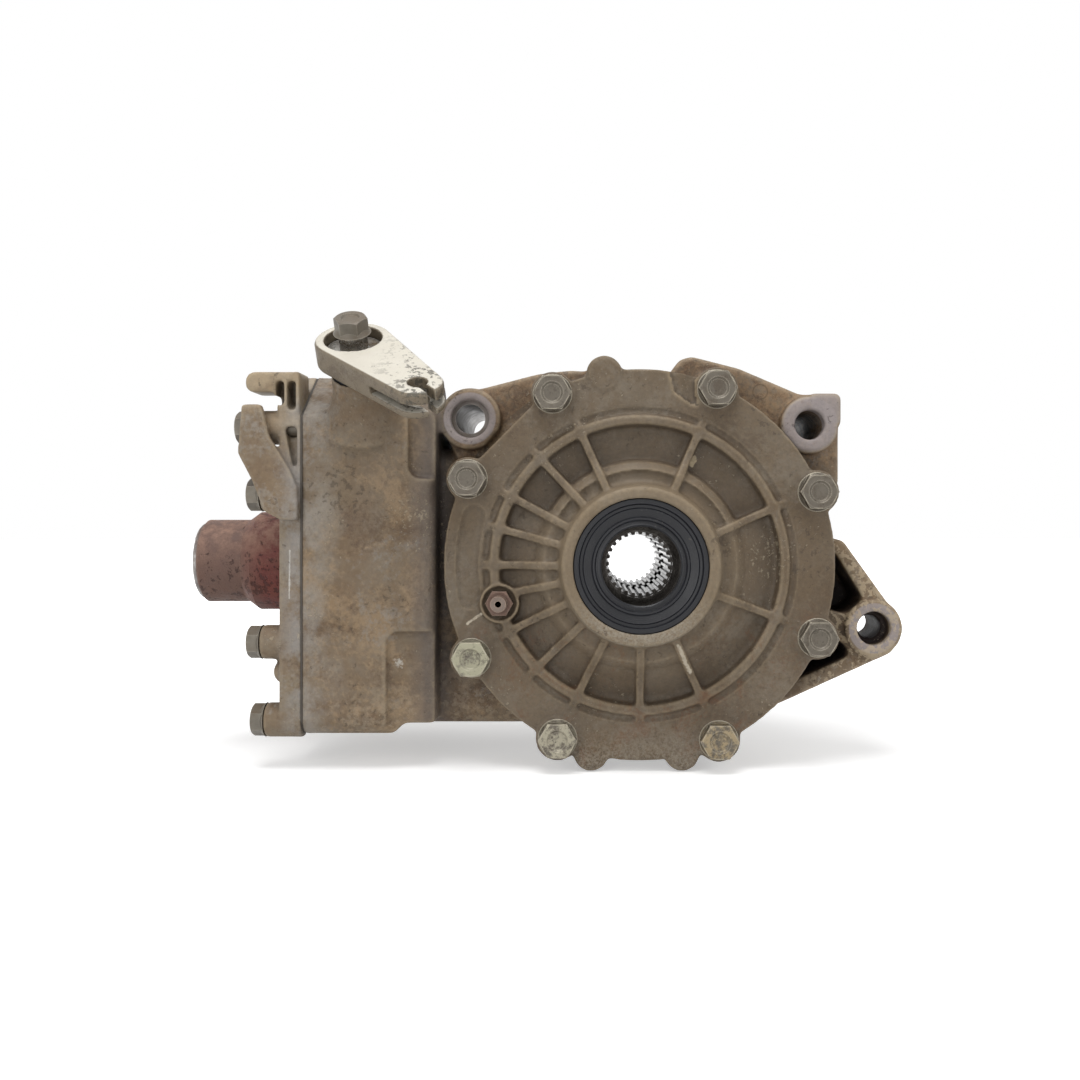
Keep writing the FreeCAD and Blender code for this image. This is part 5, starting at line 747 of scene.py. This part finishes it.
def lever_material():
    """The brake lever: pale plating with dark specks by its cable end, painted shade on its sides, and stains
    there.
    """
    material, tree, shader = start_material("lever_plating", Specular_IOR_Level=0.45)
    place = object_place(tree)
    colour = blend(tree, noise(tree, place, 90.0, 5.0, 0.6), tone(204, 199, 187), tone(186, 180, 167))
    up = put(tree, "SeparateXYZ", Vector=put(tree, "NewGeometry").outputs["Normal"]).outputs["Z"]
    # Painted shade: the sides, which face away from up, are darkened; real stains lie on them too.
    side = remap(tree, up, 0.7, 0.5)
    colour = blend(tree, side, colour, tone(112, 101, 84))
    colour = stain(tree, colour, tone(74, 62, 48), 90.0, 0.4, 0.7, 0.6, side)
    end = remap(tree, put(tree, "SeparateXYZ", Vector=place).outputs["X"], -0.107, -0.088)
    specks = use_group(tree, SPECKS, Scale=520.0, Share=0.38, Clusters=120.0)["Mask"]
    colour = coat(tree, colour, maths(tree, "MULTIPLY", specks, end), 0.8, tone(62, 58, 50))
    few = use_group(tree, SPECKS, Scale=450.0, Share=0.05, Clusters=160.0)["Mask"]
    colour = coat(tree, colour, few, 0.7, tone(80, 72, 60))
    # Painted shade: hollows are darkened.
    hollow_shade = use_group(tree, HOLLOW_SHADE, Reach=0.004, Low=0.2, High=0.9)["Mask"]
    colour = coat(tree, colour, hollow_shade, 0.6, tone(74, 66, 54))
    worn = remap(tree, poured(tree, "edge"), 0.1, 0.8)
    colour = coat(tree, colour, worn, 0.45, tone(200, 192, 174))
    feed(tree, colour, shader.inputs["Base Color"])
    feed(tree, remap(tree, noise(tree, place, 170.0), 0.3, 0.7, 0.42, 0.62), shader.inputs["Roughness"])
    shader.inputs["Metallic"].default_value = 0.15
    raise_surface(tree, shader, noise(tree, place, 560.0, 5.0, 0.7), 0.00018)
    return material


# Soft and lining materials
def rubber_material():
    """The seals: blue black rubber with turning marks and a little dust."""
    material, tree, shader = start_material("seal_rubber", Specular_IOR_Level=0.35)
    place = object_place(tree)
    colour = blend(tree, noise(tree, place, 120.0, 5.0, 0.6), tone(25, 26, 30), tone(18, 18, 21))
    dust = use_group(tree, SPECKS, Scale=600.0, Share=0.08, Clusters=60.0)["Mask"]
    colour = coat(tree, colour, dust, 0.4, tone(78, 75, 70))
    worn = use_group(tree, EDGES, Width=0.0007, Breakup=0.3)["Mask"]
    colour = coat(tree, colour, worn, 0.3, tone(58, 60, 68))
    feed(tree, colour, shader.inputs["Base Color"])
    feed(tree, remap(tree, noise(tree, place, 90.0), 0.3, 0.7, 0.32, 0.5), shader.inputs["Roughness"])
    away = use_group(tree, ROUND, Centre_X=0.0, Centre_Z=0.0, Radius=0.03)["Distance"]
    rings = maths(tree, "SINE", maths(tree, "MULTIPLY", away, 9000.0))
    height = maths(tree, "MULTIPLY_ADD", rings, 0.25, noise(tree, place, 800.0, 3.0, 0.6))
    raise_surface(tree, shader, height, 0.00006)
    return material


def lining_material():
    """Brake lining: brown fibres pressed with resin."""
    material, tree, shader = start_material("friction_lining", Roughness=0.85)
    place = object_place(tree)
    fibres = put(tree, "TexWave", Vector=place, Scale=260.0, Distortion=14.0, Detail=4.0)
    feed(tree, blend(tree, fibres.outputs["Fac"], tone(104, 82, 58), tone(70, 56, 42)),
         shader.inputs["Base Color"])
    raise_surface(tree, shader, fibres.outputs["Fac"], 0.0001)
    return material


def paper_material():
    """The gasket's edge: dark oily paper."""
    material, tree, shader = start_material("gasket_paper", Roughness=0.7)
    colour = blend(tree, noise(tree, object_place(tree), 240.0), tone(40, 36, 32), tone(78, 71, 62))
    feed(tree, colour, shader.inputs["Base Color"])
    return material


# The room
def build_floor():
    """A pale round floor under the part, white to the camera where no shadow falls."""
    mesh = bmesh.new()
    bmesh.ops.create_circle(mesh, cap_ends=True, segments=96, radius=6.0)
    bmesh.ops.translate(mesh, vec=(0, 0, FLOOR_Z - 0.0003), verts=mesh.verts)
    data = bpy.data.meshes.new("floor")
    mesh.to_mesh(data)
    mesh.free()
    floor = bpy.data.objects.new("floor", data)
    bpy.context.scene.collection.objects.link(floor)
    material = bpy.data.materials.new("floor_white")
    material.use_nodes = True
    tree = material.node_tree
    shader = tree.nodes["Principled BSDF"]
    shader.inputs["Base Color"].default_value = (0.82, 0.82, 0.82, 1.0)
    shader.inputs["Roughness"].default_value = 0.6
    shader.inputs["Specular IOR Level"].default_value = 0.2
    light_path = put(tree, "LightPath").outputs
    seen = maths(tree, "MAXIMUM", light_path["Is Camera Ray"], light_path["Is Glossy Ray"])
    seen = maths(tree, "MAXIMUM", seen, light_path["Is Transmission Ray"])
    away = vector_maths(tree, "LENGTH", object_place(tree))
    level = remap(tree, away, 0.22, 0.7, 0.42, 1.2)
    glow = put(tree, "Emission", Color=(1, 1, 1, 1), Strength=maths(tree, "MULTIPLY", seen, level))
    both = put(tree, "AddShader")
    tree.links.new(shader.outputs[0], both.inputs[0])
    tree.links.new(glow.outputs[0], both.inputs[1])
    tree.links.new(both.outputs[0], tree.nodes["Material Output"].inputs["Surface"])
    data.materials.append(material)


def build_world():
    """Soft even light from all round, and pure white where the camera or a gloss sees it."""
    world = bpy.data.worlds.new("studio")
    bpy.context.scene.world = world
    world.use_nodes = True
    tree = world.node_tree
    background = tree.nodes["Background"]
    background.inputs["Color"].default_value = (1.0, 1.0, 1.0, 1.0)
    light_path = put(tree, "LightPath").outputs
    seen = maths(tree, "MAXIMUM", light_path["Is Camera Ray"], light_path["Is Transmission Ray"])
    seen = maths(tree, "MAXIMUM", seen, light_path["Is Glossy Ray"])
    level = remap(tree, seen, 0.0, 1.0, 0.42, 1.0)
    feed(tree, level, background.inputs["Strength"])


def add_lamp(name, place, target, size, power):
    light = bpy.data.lights.new(name, "AREA")
    light.shape = "DISK"
    light.size = size
    light.energy = power
    lamp = bpy.data.objects.new(name, light)
    lamp.location = place
    lamp.rotation_euler = (Vector(target) - Vector(place)).to_track_quat("-Z", "Y").to_euler()
    bpy.context.scene.collection.objects.link(lamp)


def build_camera():
    """The photograph's camera: it looks along the axle, with its frame shifted to the axle line's pixel."""
    camera = bpy.data.cameras.new("photo_camera")
    camera.lens = FOCAL_PIXELS / PHOTO_WIDTH * SENSOR_WIDTH
    camera.sensor_width = SENSOR_WIDTH
    camera.shift_x = (PHOTO_WIDTH / 2 - AXLE_PIXEL[0]) / PHOTO_WIDTH
    camera.shift_y = (AXLE_PIXEL[1] - PHOTO_WIDTH / 2) / PHOTO_WIDTH
    camera.clip_start = 0.01
    holder = bpy.data.objects.new("photo_camera", camera)
    holder.location = CAMERA_PLACE
    holder.rotation_euler = (math.radians(90), 0, 0)
    bpy.context.scene.collection.objects.link(holder)
    bpy.context.scene.camera = holder


def paint(material, *names):
    """Give CAD nodes one material."""
    for name in names:
        slots = nodes[name].data.materials
        if len(slots) == 0:
            slots.append(material)
        for index in range(len(slots)):
            slots[index] = material


def paint_all():
    bearing_steel = steel_material("bearing_steel", tone(190, 190, 192), tone(160, 160, 164), 1.0, 0.16, 0.3)
    gear_steel = steel_material("gear_steel", tone(150, 148, 145), tone(118, 116, 114), 1.0, 0.25, 0.45)
    bolt_steel = steel_material("bolt_plating", tone(114, 108, 97), tone(88, 83, 74), 0.4, 0.36, 0.56,
                                tone(90, 78, 62), 0.42)
    shaft_steel = steel_material("bright_seat", tone(205, 203, 198), tone(170, 166, 160), 1.0, 0.18, 0.35,
                                 tone(96, 84, 68), 0.25)
    lip_steel = steel_material("lip_steel", tone(150, 148, 146), tone(104, 100, 98), 0.9, 0.25, 0.5,
                               tone(84, 66, 56), 0.4)
    oily_steel = steel_material("oily_steel", tone(58, 55, 52), tone(34, 32, 30), 1.0, 0.14, 0.28)
    paint(cover_bolt_material(), "axle_cover_bolts")
    paint(bolt_steel, "front_cover_bolts", "lever_bolt", "drain_plug", "filler_plug")
    paint(rubber_material(), "left_axle_seal", "right_axle_seal", "input_seal", "cam_shaft_seal",
          "cover_o_ring")
    paint(paper_material(), "front_cover_gasket")
    paint(rust_material(), "input_coupling")
    paint(breather_material(), "breather_fitting")
    paint(shaft_steel, "lever_collar", "cam_shaft")
    paint(steel_material("sleeve_steel", tone(120, 114, 110), tone(78, 73, 70), 0.8, 0.3, 0.5,
                         tone(82, 70, 58), 0.4), "mount_sleeve")
    paint(lip_steel, "coupling_lip_ring", "coupling_nut")
    paint(lining_material(), "friction_plates")
    paint(oily_steel, "left_side_gear", "right_side_gear")
    paint(gear_steel, "ring_gear", "upper_spider_gear", "lower_spider_gear", "pinion_shaft", "carrier_cap",
          "carrier_drum", "brake_hub", "cam_plate", "pressure_plate")
    paint(bearing_steel, "left_bearing_outer_race", "left_bearing_inner_race", "left_bearing_rollers",
          "right_bearing_outer_race", "right_bearing_inner_race", "right_bearing_rollers",
          "pinion_bearing_outer_race", "pinion_bearing_inner_race", "pinion_bearing_rollers",
          "front_bearing_outer_race", "front_bearing_inner_race", "front_bearing_rollers", "bearing_circlip",
          "carrier_screws", "ring_gear_bolts", "spider_pins", "spider_washers", "left_thrust_washer",
          "right_thrust_washer", "steel_plates", "ramp_balls", "cover_dowels")
    pour_castings()


paint_all()
build_floor()
build_world()
add_lamp("overhead", (-0.1, -0.3, 0.95), (-0.02, 0.03, 0.0), 0.7, 7.8)
add_lamp("front_fill", (-0.55, -0.95, 0.25), (-0.03, 0.0, 0.0), 0.7, 3.0)
add_lamp("right_fill", (0.8, -0.5, 0.35), (0.0, 0.03, 0.0), 0.6, 1.6)
build_camera()
bpy.context.scene.view_settings.view_transform = "Standard"
